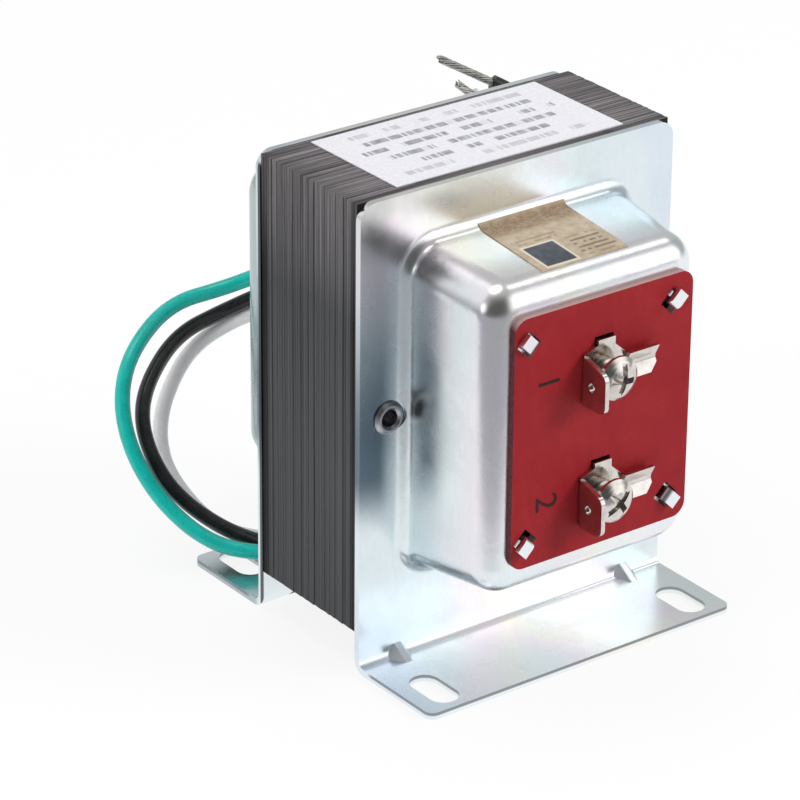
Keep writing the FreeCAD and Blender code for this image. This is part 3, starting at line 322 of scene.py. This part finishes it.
def board_finish():
    """Red vulcanised fibre with faint rolling lines; its cut edge is pale where it faces up and painted
    dark as shade where it faces sideways.
    """
    f = Finish("red_fibre", specular_ior_level=0.15)
    facing = f.math("ABSOLUTE", f.normal_axes()[1])
    rolled = f.noise(f.place(0.5, 1.0, 0.25), 1.1, 4.0, 0.6)
    speck = f.noise(f.place(), 3.5, 4.0, 0.7)
    cloud = f.noise(f.place(), 0.10, 2.0)
    blend = f.math("ADD", f.math("MULTIPLY", rolled, 0.3), f.math("MULTIPLY", speck, 0.45))
    blend = f.math("ADD", blend, f.math("MULTIPLY", cloud, 0.25))
    face = f.ramp(blend, (0.32, (0.235, 0.010, 0.014)), (0.50, (0.290, 0.014, 0.019)),
                  (0.66, (0.345, 0.024, 0.028)))
    layers = f.noise(f.place(1.0, 3.0, 1.0), 1.5, 3.0)
    # painted shade: the sideways cut edge is dark red-brown, the upward edge keeps the pale fibre colour
    edge = f.ramp(layers, (0.35, (0.07, 0.018, 0.020)), (0.65, (0.13, 0.04, 0.045)))
    edge = f.mix(f.span(f.normal_axes()[2], 0.3, 0.8), edge, (0.44, 0.30, 0.29))
    f.set("base color", f.mix(f.span(facing, 0.35, 0.75), edge, face))
    f.set("roughness", f.span(speck, 0.3, 0.7, 0.50, 0.66))
    f.set("normal", f.bump(speck, 0.012, 0.5, f.bump(rolled, 0.02, 0.3)))
    return f.material


def rubber_finish(name, dark, light, low=0.24, high=0.36):
    """Drawn plastic insulation."""
    f = Finish(name, specular_ior_level=0.35, coat_weight=0.3, coat_roughness=0.10)
    cloud = f.noise(f.place(), 0.35, 3.0, 0.55)
    f.set("base color", f.ramp(cloud, (0.35, dark), (0.65, light)))
    f.set("roughness", f.span(f.noise(f.place(), 1.2, 3.0), 0.3, 0.7, low, high))
    f.set("normal", f.bump(f.noise(f.place(), 0.9, 3.0, 0.6), 0.05, 0.3))
    return f.material


def dull_finish(name, dark, light, scale=0.8, low=0.55, high=0.75, stretch=(1.0, 1.0, 1.0)):
    """Paper, tape, nylon and varnish."""
    f = Finish(name, specular_ior_level=0.35)
    fibre = f.noise(f.place(*stretch), scale, 4.0, 0.6)
    f.set("base color", f.ramp(fibre, (0.34, dark), (0.66, light)))
    f.set("roughness", f.span(fibre, 0.3, 0.7, low, high))
    f.set("normal", f.bump(fibre, 0.03, 0.5))
    return f.material


COPPER_TURNS_PER_MM = 2.2


def copper_finish():
    """Enamelled wire laid turn beside turn around the horizontal leg."""
    f = Finish("copper_turns", metallic=0.85)
    turn = f.math("MULTIPLY", f.axes()[0], COPPER_TURNS_PER_MM)
    across = f.math("ABSOLUTE", f.math("SUBTRACT", f.math("FRACT", turn), 0.5))
    tone = f.cells(turn)
    f.set("base color", f.ramp(tone, (0.0, (0.42, 0.13, 0.05)), (1.0, (0.62, 0.24, 0.10))))
    f.set("roughness", f.span(tone, 0.0, 1.0, 0.22, 0.34))
    f.set("normal", f.bump(f.math("SUBTRACT", 0.5, across), 0.25, 0.9))
    return f.material


def paper_rows(f, u, v, rows, pitch, height, run, seed, end=18.0):
    """Rows of short plain bars: 1 on a bar. u runs along a row and v across the rows."""
    row = f.math("DIVIDE", v, pitch)
    number = f.math("FLOOR", row)
    inside = f.between(f.math("FRACT", row), 0.5 - height / pitch / 2, 0.5 + height / pitch / 2, 0.03)
    known = f.between(number, 0.0, rows - 1.0, 0.4)
    cell = f.math("ADD", f.math("DIVIDE", u, run), f.math("MULTIPLY", number, 17.3 + seed))
    gap = f.span(f.cells(cell), 0.13, 0.15)
    length = f.math("MULTIPLY_ADD", f.cells(f.math("ADD", number, seed)), 0.35 * end, 0.62 * end)
    reach = f.math("LESS_THAN", f.math("ABSOLUTE", u), length)
    return f.math("MULTIPLY", f.math("MULTIPLY", inside, known), f.math("MULTIPLY", gap, reach))


LABEL_FRONT_MM = -8.2
ROW_PITCH_MM = 2.95


def rating_label_finish():
    """White paper with plain grey bars."""
    f = Finish("white_label", specular_ior_level=0.45)
    x, y = f.axes()[:2]
    v = f.math("SUBTRACT", y, SHIFT_MM + LABEL_FRONT_MM)
    u = f.math("SUBTRACT", x, 0.5)
    bars = paper_rows(f, u, v, rows=6, pitch=ROW_PITCH_MM, height=1.35, run=2.6, seed=3.0)
    row = f.math("FLOOR", f.math("DIVIDE", v, ROW_PITCH_MM))
    letters = f.cells(f.math("MULTIPLY_ADD", row, 9.7, f.math("DIVIDE", u, 0.40)))
    bars = f.math("MULTIPLY", bars, f.span(letters, 0.22, 0.30, 0.15, 0.85))
    fibre = f.noise(f.place(), 1.8, 4.0, 0.65)
    paper = f.ramp(fibre, (0.35, (0.74, 0.74, 0.79)), (0.65, (0.83, 0.83, 0.87)))
    worn = f.span(f.noise(f.place(), 0.9, 3.0), 0.35, 0.65, 0.60, 0.95)
    f.set("base color", f.mix(f.math("MULTIPLY", bars, worn), paper, (0.13, 0.13, 0.16)))
    f.set("roughness", f.span(fibre, 0.3, 0.7, 0.42, 0.58))
    f.set("normal", f.bump(f.noise(f.place(), 0.25, 2.0), 0.12, 0.4))
    return f.material


def gold_bars(f, x, depth):
    """Small bars to the right of the dark square and behind it."""
    u = f.math("SUBTRACT", x, 3.6)
    v = f.math("SUBTRACT", depth, -27.0)
    right = paper_rows(f, u, v, rows=6, pitch=1.05, height=0.42, run=0.55, seed=5.0, end=3.2)
    right = f.math("MULTIPLY", right, f.span(x, 0.2, 0.3))
    u = f.math("ADD", x, 2.8)
    v = f.math("SUBTRACT", depth, -20.4)
    behind = paper_rows(f, u, v, rows=2, pitch=0.95, height=0.4, run=0.6, seed=9.0, end=4.2)
    return f.math("MULTIPLY", f.math("MAXIMUM", right, behind), 0.75)


def gold_label_finish():
    """Tan metal foil with a dark square, small bars and a brown band near the end that curls
    up the cover."""
    f = Finish("gold_label", metallic=0.25)
    x, y = f.axes()[:2]
    depth = f.math("SUBTRACT", y, SHIFT_MM)
    foil = f.noise(f.place(), 0.8, 4.0, 0.6)
    gold = f.ramp(foil, (0.32, (0.42, 0.32, 0.21)), (0.52, (0.52, 0.42, 0.30)),
                  (0.70, (0.61, 0.51, 0.39)))
    # a darker brown band near the end that curls up the cover
    band = f.between(depth, -16.6, -13.0, 0.45)
    flake = f.span(f.noise(f.place(), 1.6, 4.0, 0.7), 0.42, 0.58, 0.35, 1.0)
    brown_band = f.math("MULTIPLY", f.math("MULTIPLY", band, flake), 0.90)
    gold = f.mix(brown_band, gold, (0.27, 0.17, 0.09))
    square = f.math("MULTIPLY", f.between(x, -6.3, -1.1, 0.06), f.between(depth, -26.6, -21.0, 0.06))
    border = f.math("MULTIPLY", f.between(x, -6.7, -0.7, 0.06), f.between(depth, -27.0, -20.6, 0.06))
    gold = f.mix(border, gold, (0.74, 0.66, 0.53))
    ink = f.ramp(foil, (0.4, (0.035, 0.045, 0.060)), (0.6, (0.075, 0.090, 0.11)))
    gold = f.mix(square, gold, ink)
    f.set("base color", f.mix(gold_bars(f, x, depth), gold, (0.12, 0.085, 0.05)))
    f.set("roughness", f.span(foil, 0.3, 0.7, 0.34, 0.50))
    f.set("normal", f.bump(foil, 0.03, 0.4))
    return f.material


def dress(finish, *names):
    for name in names:
        slots = NODES[name].material_slots
        for slot in slots:
            slot.material = finish
        if not slots:
            NODES[name].data.materials.append(finish)


def dress_outside():
    dress(zinc_finish(), "front_cover", "rear_cover")
    dress(bright_finish("rivet_steel", (0.50, 0.51, 0.53), 0.26, 0.40), "rivet_left", "rivet_right")
    dress(bright_finish("nickel", (0.74, 0.70, 0.66), 0.10, 0.22), "terminal_plate_upper",
          "terminal_plate_lower", "terminal_screw_upper", "terminal_screw_lower")
    dress(board_finish(), "terminal_board")
    dress(rating_label_finish(), "rating_label")
    dress(gold_label_finish(), "cover_label")
    dress(rubber_finish("bushing_plastic", (0.012, 0.012, 0.013), (0.026, 0.026, 0.028), 0.34, 0.5),
          "lead_bushing")


def dress_inside():
    dress(copper_finish(), "primary_winding", "secondary_winding")
    dress(bright_finish("enamelled_wire", (0.60, 0.25, 0.11), 0.22, 0.34), "secondary_wire_upper",
          "secondary_wire_lower", "primary_return_wire")
    dress(dull_finish("nylon", (0.72, 0.69, 0.60), (0.80, 0.77, 0.69), 0.5), "bobbin")
    dress(dull_finish("wrap_tape", (0.62, 0.42, 0.08), (0.74, 0.53, 0.14), 1.2, 0.3, 0.45, (0.2, 1.0, 1.0)),
          "primary_wrap", "secondary_wrap")
    dress(dull_finish("fish_paper", (0.20, 0.17, 0.15), (0.29, 0.25, 0.21), 1.5), "front_insulator",
          "rear_insulator")
    dress(rubber_finish("inner_black", (0.010, 0.010, 0.011), (0.020, 0.020, 0.022)), "inner_lead_black")
    dress(rubber_finish("inner_white", (0.74, 0.74, 0.73), (0.82, 0.82, 0.81)), "inner_lead_white")
    dress(rubber_finish("inner_green", (0.0, 0.30, 0.20), (0.0, 0.37, 0.26)), "inner_lead_green")
    dress(dull_finish("splice_sleeve", (0.55, 0.46, 0.30), (0.66, 0.57, 0.40), 1.1, 0.4, 0.6),
          "splice_black", "splice_white")
    dress(dull_finish("fuse_body", (0.62, 0.60, 0.55), (0.72, 0.70, 0.66), 0.9, 0.25, 0.4), "thermal_fuse")
    dress(bright_finish("lug_tin", (0.62, 0.60, 0.57), 0.25, 0.4), "ground_lug")


# Pieces
def add_piece(name, mesh, finish, replaced=()):
    piece = bpy.data.objects.new(name, mesh)
    bpy.context.scene.collection.objects.link(piece)
    piece.data.materials.append(finish)
    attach(piece, "root")
    if replaced:
        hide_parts(*replaced)
    return piece


def curve_data(name, splines, order=3):
    """A 3-D curve whose points are its control points."""
    curve = bpy.data.curves.new(name, "CURVE")
    curve.dimensions = "3D"
    for points in splines:
        spline = curve.splines.new("NURBS")
        spline.points.add(len(points) - 1)
        for target, point in zip(spline.points, points):
            target.co = (*point, 1.0)
        spline.order_u = order
        spline.use_endpoint_u = True
        spline.resolution_u = 12
    return curve


def mesh_of(curve):
    """The mesh that a curve gives."""
    holder = bpy.data.objects.new("holder", curve)
    bpy.context.scene.collection.objects.link(holder)
    bpy.context.view_layer.update()
    mesh = bpy.data.meshes.new_from_object(holder.evaluated_get(bpy.context.evaluated_depsgraph_get()))
    bpy.data.objects.remove(holder)
    return mesh


def smooth(mesh, angle=40):
    """Smooth shading, kept sharp over the angle."""
    work = bmesh.new()
    work.from_mesh(mesh)
    for face in work.faces:
        face.smooth = True
    for edge in work.edges:
        if len(edge.link_faces) == 2:
            edge.smooth = edge.calc_face_angle(0) < math.radians(angle)
    work.to_mesh(mesh)
    work.free()


# Sheets of the core
SHEET_CHAMFER_MM = 0.035
HOLE_X_MM = 22.75
HOLE_R_MM = 1.9
HOLE_CORNERS = 20
SIDES = {-1: "left", 1: "right"}


def sheet_outline(side, is_e):
    """Outline in x and z; side is where the yoke lies."""
    u = CORE_UNIT_MM
    half = 2.5 * u
    leg = half - u
    if is_e:
        outline = [(-half, 0), (leg, 0), (leg, u), (-leg, u), (-leg, 2 * u), (leg, 2 * u), (leg, 4 * u),
                   (-leg, 4 * u), (-leg, 5 * u), (leg, 5 * u), (leg, 6 * u), (-half, 6 * u)]
    else:
        outline = [(-half, 0), (-leg, 0), (-leg, 6 * u), (-half, 6 * u)]
    return [(-side * x, CORE_BOTTOM_MM + z) for x, z in outline]


def hole_outline(side):
    turns = [math.tau * corner / HOLE_CORNERS for corner in range(HOLE_CORNERS)]
    return [(side * HOLE_X_MM + HOLE_R_MM * math.cos(turn), CORE_MID_MM + HOLE_R_MM * math.sin(turn))
            for turn in turns]


def sheet_mesh(side, is_e):
    """One flat sheet with its rivet hole."""
    curve = bpy.data.curves.new("sheet", "CURVE")
    curve.dimensions = "2D"
    curve.fill_mode = "BOTH"
    curve.extrude = (LAYER_MM / 4 - SHEET_CHAMFER_MM) * MM
    curve.bevel_depth = SHEET_CHAMFER_MM * MM
    curve.bevel_resolution = 0
    curve.offset = -SHEET_CHAMFER_MM * MM
    for points in (sheet_outline(side, is_e), hole_outline(side)):
        spline = curve.splines.new("POLY")
        spline.points.add(len(points) - 1)
        for target, (x, z) in zip(spline.points, points):
            target.co = (x * MM, z * MM, 0, 1)
        spline.use_cyclic_u = True
    return mesh_of(curve)


def lay_sheet(work, sheet, x, y, z):
    """Stand a copy of a flat sheet in its place."""
    first = len(work.verts)
    work.from_mesh(sheet)
    work.verts.ensure_lookup_table()
    move = Matrix.Translation(core(x, y, z)) @ Matrix.Rotation(math.pi / 2, 4, "X")
    bmesh.ops.transform(work, matrix=move, verts=work.verts[first:])


def stack_sheets(finish):
    """Two sheets for each layer of the core, each a little out of line."""
    chance = random.Random(11)
    sheets = {(side, is_e): sheet_mesh(side, is_e) for side in SIDES for is_e in (True, False)}
    groups = {}
    for number in range(LAYERS * 2):
        e_side = -1 if number // 2 % 2 == 0 else 1
        y = -CORE_HALF_MM + (number + 0.5) * LAYER_MM / 2
        for side, is_e in ((e_side, True), (-e_side, False)):
            kind = ("e" if is_e else "i", SIDES[side])
            if kind not in groups:
                groups[kind] = bmesh.new()
            step = e_side * 0.02 + chance.uniform(-0.035, 0.035)
            lay_sheet(groups[kind], sheets[side, is_e], step, y, chance.uniform(-0.05, 0.02))
    for kind, work in groups.items():
        bmesh.ops.remove_doubles(work, verts=work.verts, dist=1e-7)
        name = "%s_sheets_%s" % kind
        mesh = bpy.data.meshes.new(name)
        work.to_mesh(mesh)
        work.free()
        add_piece(name, mesh, finish, ("%s_laminations_%s" % kind,))


# Leads
LEADS = {
    "green": [
        (0, 31.126, 38.7), (0, 38, 38.7), (-2.5, 44, 36.5), (-8, 49, 33), (-17, 51, 32),
        (-27, 46.5, 28.5), (-31.5, 43, 23), (-32.5, 38.5, 16), (-30.5, 33, 9), (-27, 25.5, 4.5),
        (-21, 20, 3.4), (-12, 17.5, 3), (0, 18.5, 2.5), (13, 19.5, 3.5), (25, 19.5, 8.5),
        (33, 20, 17.5), (37.5, 21.5, 28.5), (38, 23, 40), (37, 25, 51),
    ],
    "black": [
        (0, 31.126, 36.2), (0, 37.5, 36.2), (-2, 44.5, 33), (-8, 49.5, 29), (-16.5, 50, 27),
        (-25, 45.5, 23), (-28.5, 42, 18.5), (-29, 37, 13), (-27, 32.5, 8.5), (-22.5, 26.5, 4.5),
        (-16.5, 21.5, 2.5), (-8, 20.5, 2.5), (1, 22, 3.5), (11, 23.5, 5), (22, 23.5, 8.5),
        (29, 23, 17.5), (32.5, 21.5, 28.5), (35, 20.5, 39), (35.5, 19.5, 49.5), (33.5, 19.5, 58),
        (29, 21.5, 64), (23.4, 24, 67.3),
    ],
    "white": [
        (0, 31.126, 33.7), (0, 36.5, 33.7), (-1, 44, 30.5), (-6.5, 49.5, 27), (-13.5, 51, 23.5),
        (-20.5, 47.5, 18.5), (-24, 44, 14), (-25.5, 39, 10), (-23.5, 31, 4.5), (-18, 25.5, 2.5),
        (-11, 23, 2.5), (0, 24.5, 3), (11.5, 27, 5), (23, 28, 9), (29, 29, 19),
        (31.5, 29.5, 30.5), (33.5, 29.5, 41), (33.5, 29, 50.5), (30, 29.5, 58.5), (24.5, 30, 63.1),
    ],
}
BARE_MM = {"green": 7.0, "black": 10.0, "white": 4.0}
STRAND_R_MM = 0.13
STRAND_RINGS = ((1, 0.0), (6, 0.25), (10, 0.49))
TWIST_MM = 9.0
EASE_TURN = 6


def strand_points(path, way, radius, start, turns, short, ease):
    """One strand wound around a path, ending a little short and easing in or out."""
    side = way.cross(Vector((0, 0, 1))).normalized()
    up = side.cross(way)
    points = []
    for step, point in enumerate(path):
        along = step / (len(path) - 1)
        if along > short:
            break
        angle = start + along * (math.tau * turns + EASE_TURN * ease)
        spread = (radius + ease * along) * MM
        points.append(point + (side * math.cos(angle) + up * math.sin(angle)) * spread)
    return points


def strand_bundle(colour, end, way, finish):
    """Twisted wire strands past the insulation, straight on from the lead's end."""
    chance = random.Random(colour)
    length = BARE_MM[colour]
    stations = [end + way * along * MM for along in (-1.0, length * 0.5, length)]
    path = [vertex.co.copy() for vertex in mesh_of(curve_data("line", [stations])).vertices]
    turns = (length + 1.0) / TWIST_MM
    splines = []
    for count, radius in STRAND_RINGS:
        for index in range(count):
            start = math.tau * index / count + radius
            short = chance.uniform(0.90, 1.0)
            ease = chance.uniform(-0.04, 0.04)
            splines.append(strand_points(path, way, radius, start, turns, short, ease))
    curve = curve_data("strands", splines, 4)
    curve.bevel_depth = STRAND_R_MM * MM
    curve.bevel_resolution = 2
    curve.use_fill_caps = True
    for spline in curve.splines:
        spline.resolution_u = 3
    mesh = mesh_of(curve)
    smooth(mesh)
    return add_piece("strand_bundle_" + colour, mesh, finish, ("strands_" + colour,))


def lay_leads():
    tin = bright_finish("strand_tin", (0.60, 0.57, 0.53), 0.24, 0.38, 3.0)
    finishes = {
        "green": rubber_finish("green_insulation", (0.0, 0.45, 0.38), (0.0, 0.53, 0.46)),
        "black": rubber_finish("black_insulation", (0.008, 0.008, 0.009), (0.018, 0.018, 0.020)),
        "white": rubber_finish("white_insulation", (0.82, 0.82, 0.83), (0.88, 0.88, 0.89)),
    }
    for colour, points in LEADS.items():
        places = [core(*point) for point in points]
        curve = curve_data(colour + "_lead", [places])
        curve.bevel_depth = LEAD_R_MM * MM
        curve.bevel_resolution = 6
        curve.use_fill_caps = True
        lead = add_piece(colour + "_lead", curve, finishes[colour], ("lead_" + colour,))
        way = (places[-1] - places[-2]).normalized()
        bare = strand_bundle(colour, places[-1], way, tin)


# Threads and numbers on the terminals
SCREWS_MM = {"upper": (0.5, 47.2), "lower": (0.5, 28.3)}
THREAD_PITCH_MM = 0.79
THREAD_START_MM = 0.18
THREAD_STEPS = 24
THREAD_TURNS = 2.55
THREAD_SECTION_MM = ((1.70, -0.02), (2.06, 0.26), (2.06, 0.34), (1.70, 0.62))
NUMBERS_MM = {"1": (-9.3, 47.9), "2": (-9.3, 29.5)}
NUMBER_HEIGHT_MM = 5.4
NUMBER_DEPTH_MM = 0.02


def thread_mesh(x, z):
    """The thread's ridge between the terminal plate and the screw's head."""
    work = bmesh.new()
    rings = []
    for step in range(int(THREAD_STEPS * THREAD_TURNS) + 1):
        turn = math.tau * step / THREAD_STEPS
        y = THREAD_START_MM - PLATE_FACE_MM - THREAD_PITCH_MM * step / THREAD_STEPS
        places = [core(x + radius * math.cos(turn), y - offset, z + radius * math.sin(turn))
                  for radius, offset in THREAD_SECTION_MM]
        rings.append([work.verts.new(place) for place in places])
    for first, second in zip(rings, rings[1:]):
        for index in range(4):
            after = (index + 1) % 4
            work.faces.new((first[index], first[after], second[after], second[index]))
    work.faces.new(rings[0][::-1])
    work.faces.new(rings[-1])
    bmesh.ops.recalc_face_normals(work, faces=work.faces)
    mesh = bpy.data.meshes.new("thread")
    work.to_mesh(mesh)
    work.free()
    smooth(mesh, 35)
    return mesh


def add_threads():
    finish = bright_finish("thread_nickel", (0.62, 0.58, 0.54), 0.16, 0.28)
    for level, (x, z) in SCREWS_MM.items():
        add_piece("screw_thread_" + level, thread_mesh(x, z), finish)


def add_numbers():
    """Hot-stamped numbers beside the terminals, read from the right."""
    ink = dull_finish("stamped_ink", (0.012, 0.004, 0.005), (0.040, 0.010, 0.012), 2.6)
    for text, (x, z) in NUMBERS_MM.items():
        curve = bpy.data.curves.new("number_" + text, "FONT")
        curve.body = text
        curve.size = NUMBER_HEIGHT_MM * MM
        curve.extrude = NUMBER_DEPTH_MM * MM
        curve.align_x = "CENTER"
        curve.align_y = "CENTER"
        curve.offset = -NUMBER_DEPTH_MM * MM
        mesh = mesh_of(curve)
        turn = Matrix.Rotation(math.pi / 2, 4, "X") @ Matrix.Rotation(-math.pi / 2, 4, "Z")
        mesh.transform(Matrix.Translation(core(x, -BOARD_FACE_MM - NUMBER_DEPTH_MM, z)) @ turn)
        add_piece("number_" + text, mesh, ink)


# Studio
FLOOR_HALF = 3.0


def floor_finish():
    """White where the camera, metal or glass sees it, with a grey card lying at the front left
    that only metal mirrors."""
    f = Finish("floor", roughness=0.9, specular_ior_level=0.0)
    path = f.node("ShaderNodeLightPath").outputs
    x, y = f.axes()[:2]
    corner = f.math("ADD", f.math("MULTIPLY", x, -0.66), f.math("MULTIPLY", y, -0.75))
    card = f.math("MULTIPLY", path["Is Glossy Ray"], f.span(corner, 58.0, 92.0, smooth=True))
    f.set("base color", f.mix(card, (0.94, 0.94, 0.95), (0.36, 0.37, 0.39)))
    seen = f.math("ADD", path["Is Camera Ray"], path["Is Transmission Ray"])
    seen = f.math("MINIMUM", f.math("ADD", seen, path["Is Glossy Ray"]), 1.0)
    seen = f.math("MULTIPLY", seen, f.math("SUBTRACT", 1.0, card))
    glow = f.node("ShaderNodeEmission", (1.0, 1.0, 1.0, 1.0), 1.0)
    blend = f.node("ShaderNodeMixShader", f.math("MULTIPLY", seen, 0.86))
    f.tree.links.new(f.shader.outputs[0], blend.inputs[1])
    f.tree.links.new(glow.outputs[0], blend.inputs[2])
    f.tree.links.new(blend.outputs[0], f.tree.nodes["Material Output"].inputs[0])
    return f.material


def add_floor():
    mesh = bpy.data.meshes.new("floor")
    corners = [(x * FLOOR_HALF, y * FLOOR_HALF, 0) for x, y in ((-1, -1), (1, -1), (1, 1), (-1, 1))]
    mesh.from_pydata(corners, [], [(0, 1, 2, 3)])
    floor = bpy.data.objects.new("floor", mesh)
    floor.location.z = -0.02 * MM
    bpy.context.scene.collection.objects.link(floor)
    floor.data.materials.append(floor_finish())


# Soft boxes and cards that metal mirrors: direction, widths in degrees from full to none, brightness
MIRRORED = (
    ((0.56, -0.75, 0.35), 16, 36, 1.45),
    ((0.54, -0.02, 0.84), 4, 11, 2.2),
    ((-0.45, 0.70, 0.53), 18, 40, 0.95),
    ((0.543, 0.70, 0.50), 20, 45, 0.56),
    ((-0.95, 0.10, 0.30), 6, 16, 2.0),
    ((-0.10, 0.20, 0.96), 8, 20, 3.0),
    ((-0.60, -0.76, 0.25), 24, 62, 0.10),
)
BASE_LEVEL = 0.45
ROOM_LIGHT = 0.42


def set_world():
    world = bpy.data.worlds.new("studio")
    bpy.context.scene.world = world
    world.use_nodes = True
    g = Graph(world.node_tree)
    g.tree.nodes.clear()
    path = g.node("ShaderNodeLightPath").outputs
    way = g.node("ShaderNodeTexCoord").outputs["Generated"]
    level = BASE_LEVEL
    for direction, inner, outer, brightness in MIRRORED:
        middle = Vector(direction).normalized()
        dot = g.node("ShaderNodeVectorMath", way, middle, operation="DOT_PRODUCT").outputs["Value"]
        edges = [math.cos(math.radians(angle)) for angle in (outer, inner)]
        spot = g.span(dot, *edges, smooth=True)
        level = g.math("ADD", g.math("MULTIPLY", level, g.math("SUBTRACT", 1.0, spot)),
                       g.math("MULTIPLY", spot, brightness))
    glossy = g.math("MULTIPLY", path["Is Glossy Ray"], level)
    seen = g.math("MINIMUM", g.math("ADD", path["Is Camera Ray"], path["Is Transmission Ray"]), 1.0)
    others = g.math("SUBTRACT", 1.0, g.math("MAXIMUM", seen, path["Is Glossy Ray"]))
    strength = g.math("ADD", g.math("ADD", seen, glossy), g.math("MULTIPLY", others, ROOM_LIGHT))
    shown = g.node("ShaderNodeBackground", (1.0, 1.0, 1.0, 1.0), strength)
    output = g.node("ShaderNodeOutputWorld")
    g.tree.links.new(shown.outputs[0], output.inputs[0])


LAMP_TARGET = (0, 0, 0.035)


def add_lamp(name, place, size, power):
    lamp = bpy.data.lights.new(name, "AREA")
    lamp.shape = "RECTANGLE"
    lamp.size = size[0]
    lamp.size_y = size[1]
    lamp.energy = power
    holder = bpy.data.objects.new(name, lamp)
    holder.location = place
    way = Vector(LAMP_TARGET) - Vector(place)
    holder.rotation_euler = way.to_track_quat("-Z", "Y").to_euler()
    holder.visible_glossy = False
    bpy.context.scene.collection.objects.link(holder)


def light_studio():
    add_lamp("key", (0.60, -0.62, 0.52), (0.40, 0.40), 6.0)
    add_lamp("top", (-0.05, 0.25, 0.80), (0.60, 0.40), 2.2)
    add_lamp("left_strip", (-0.75, -0.05, 0.35), (0.20, 0.55), 2.0)


def main():
    bpy.context.scene.view_settings.view_transform = "Standard"
    set_camera()
    lay_leads()
    stack_sheets(sheet_finish())
    dress_outside()
    dress_inside()
    add_threads()
    add_numbers()
    add_floor()
    set_world()
    light_studio()


main()
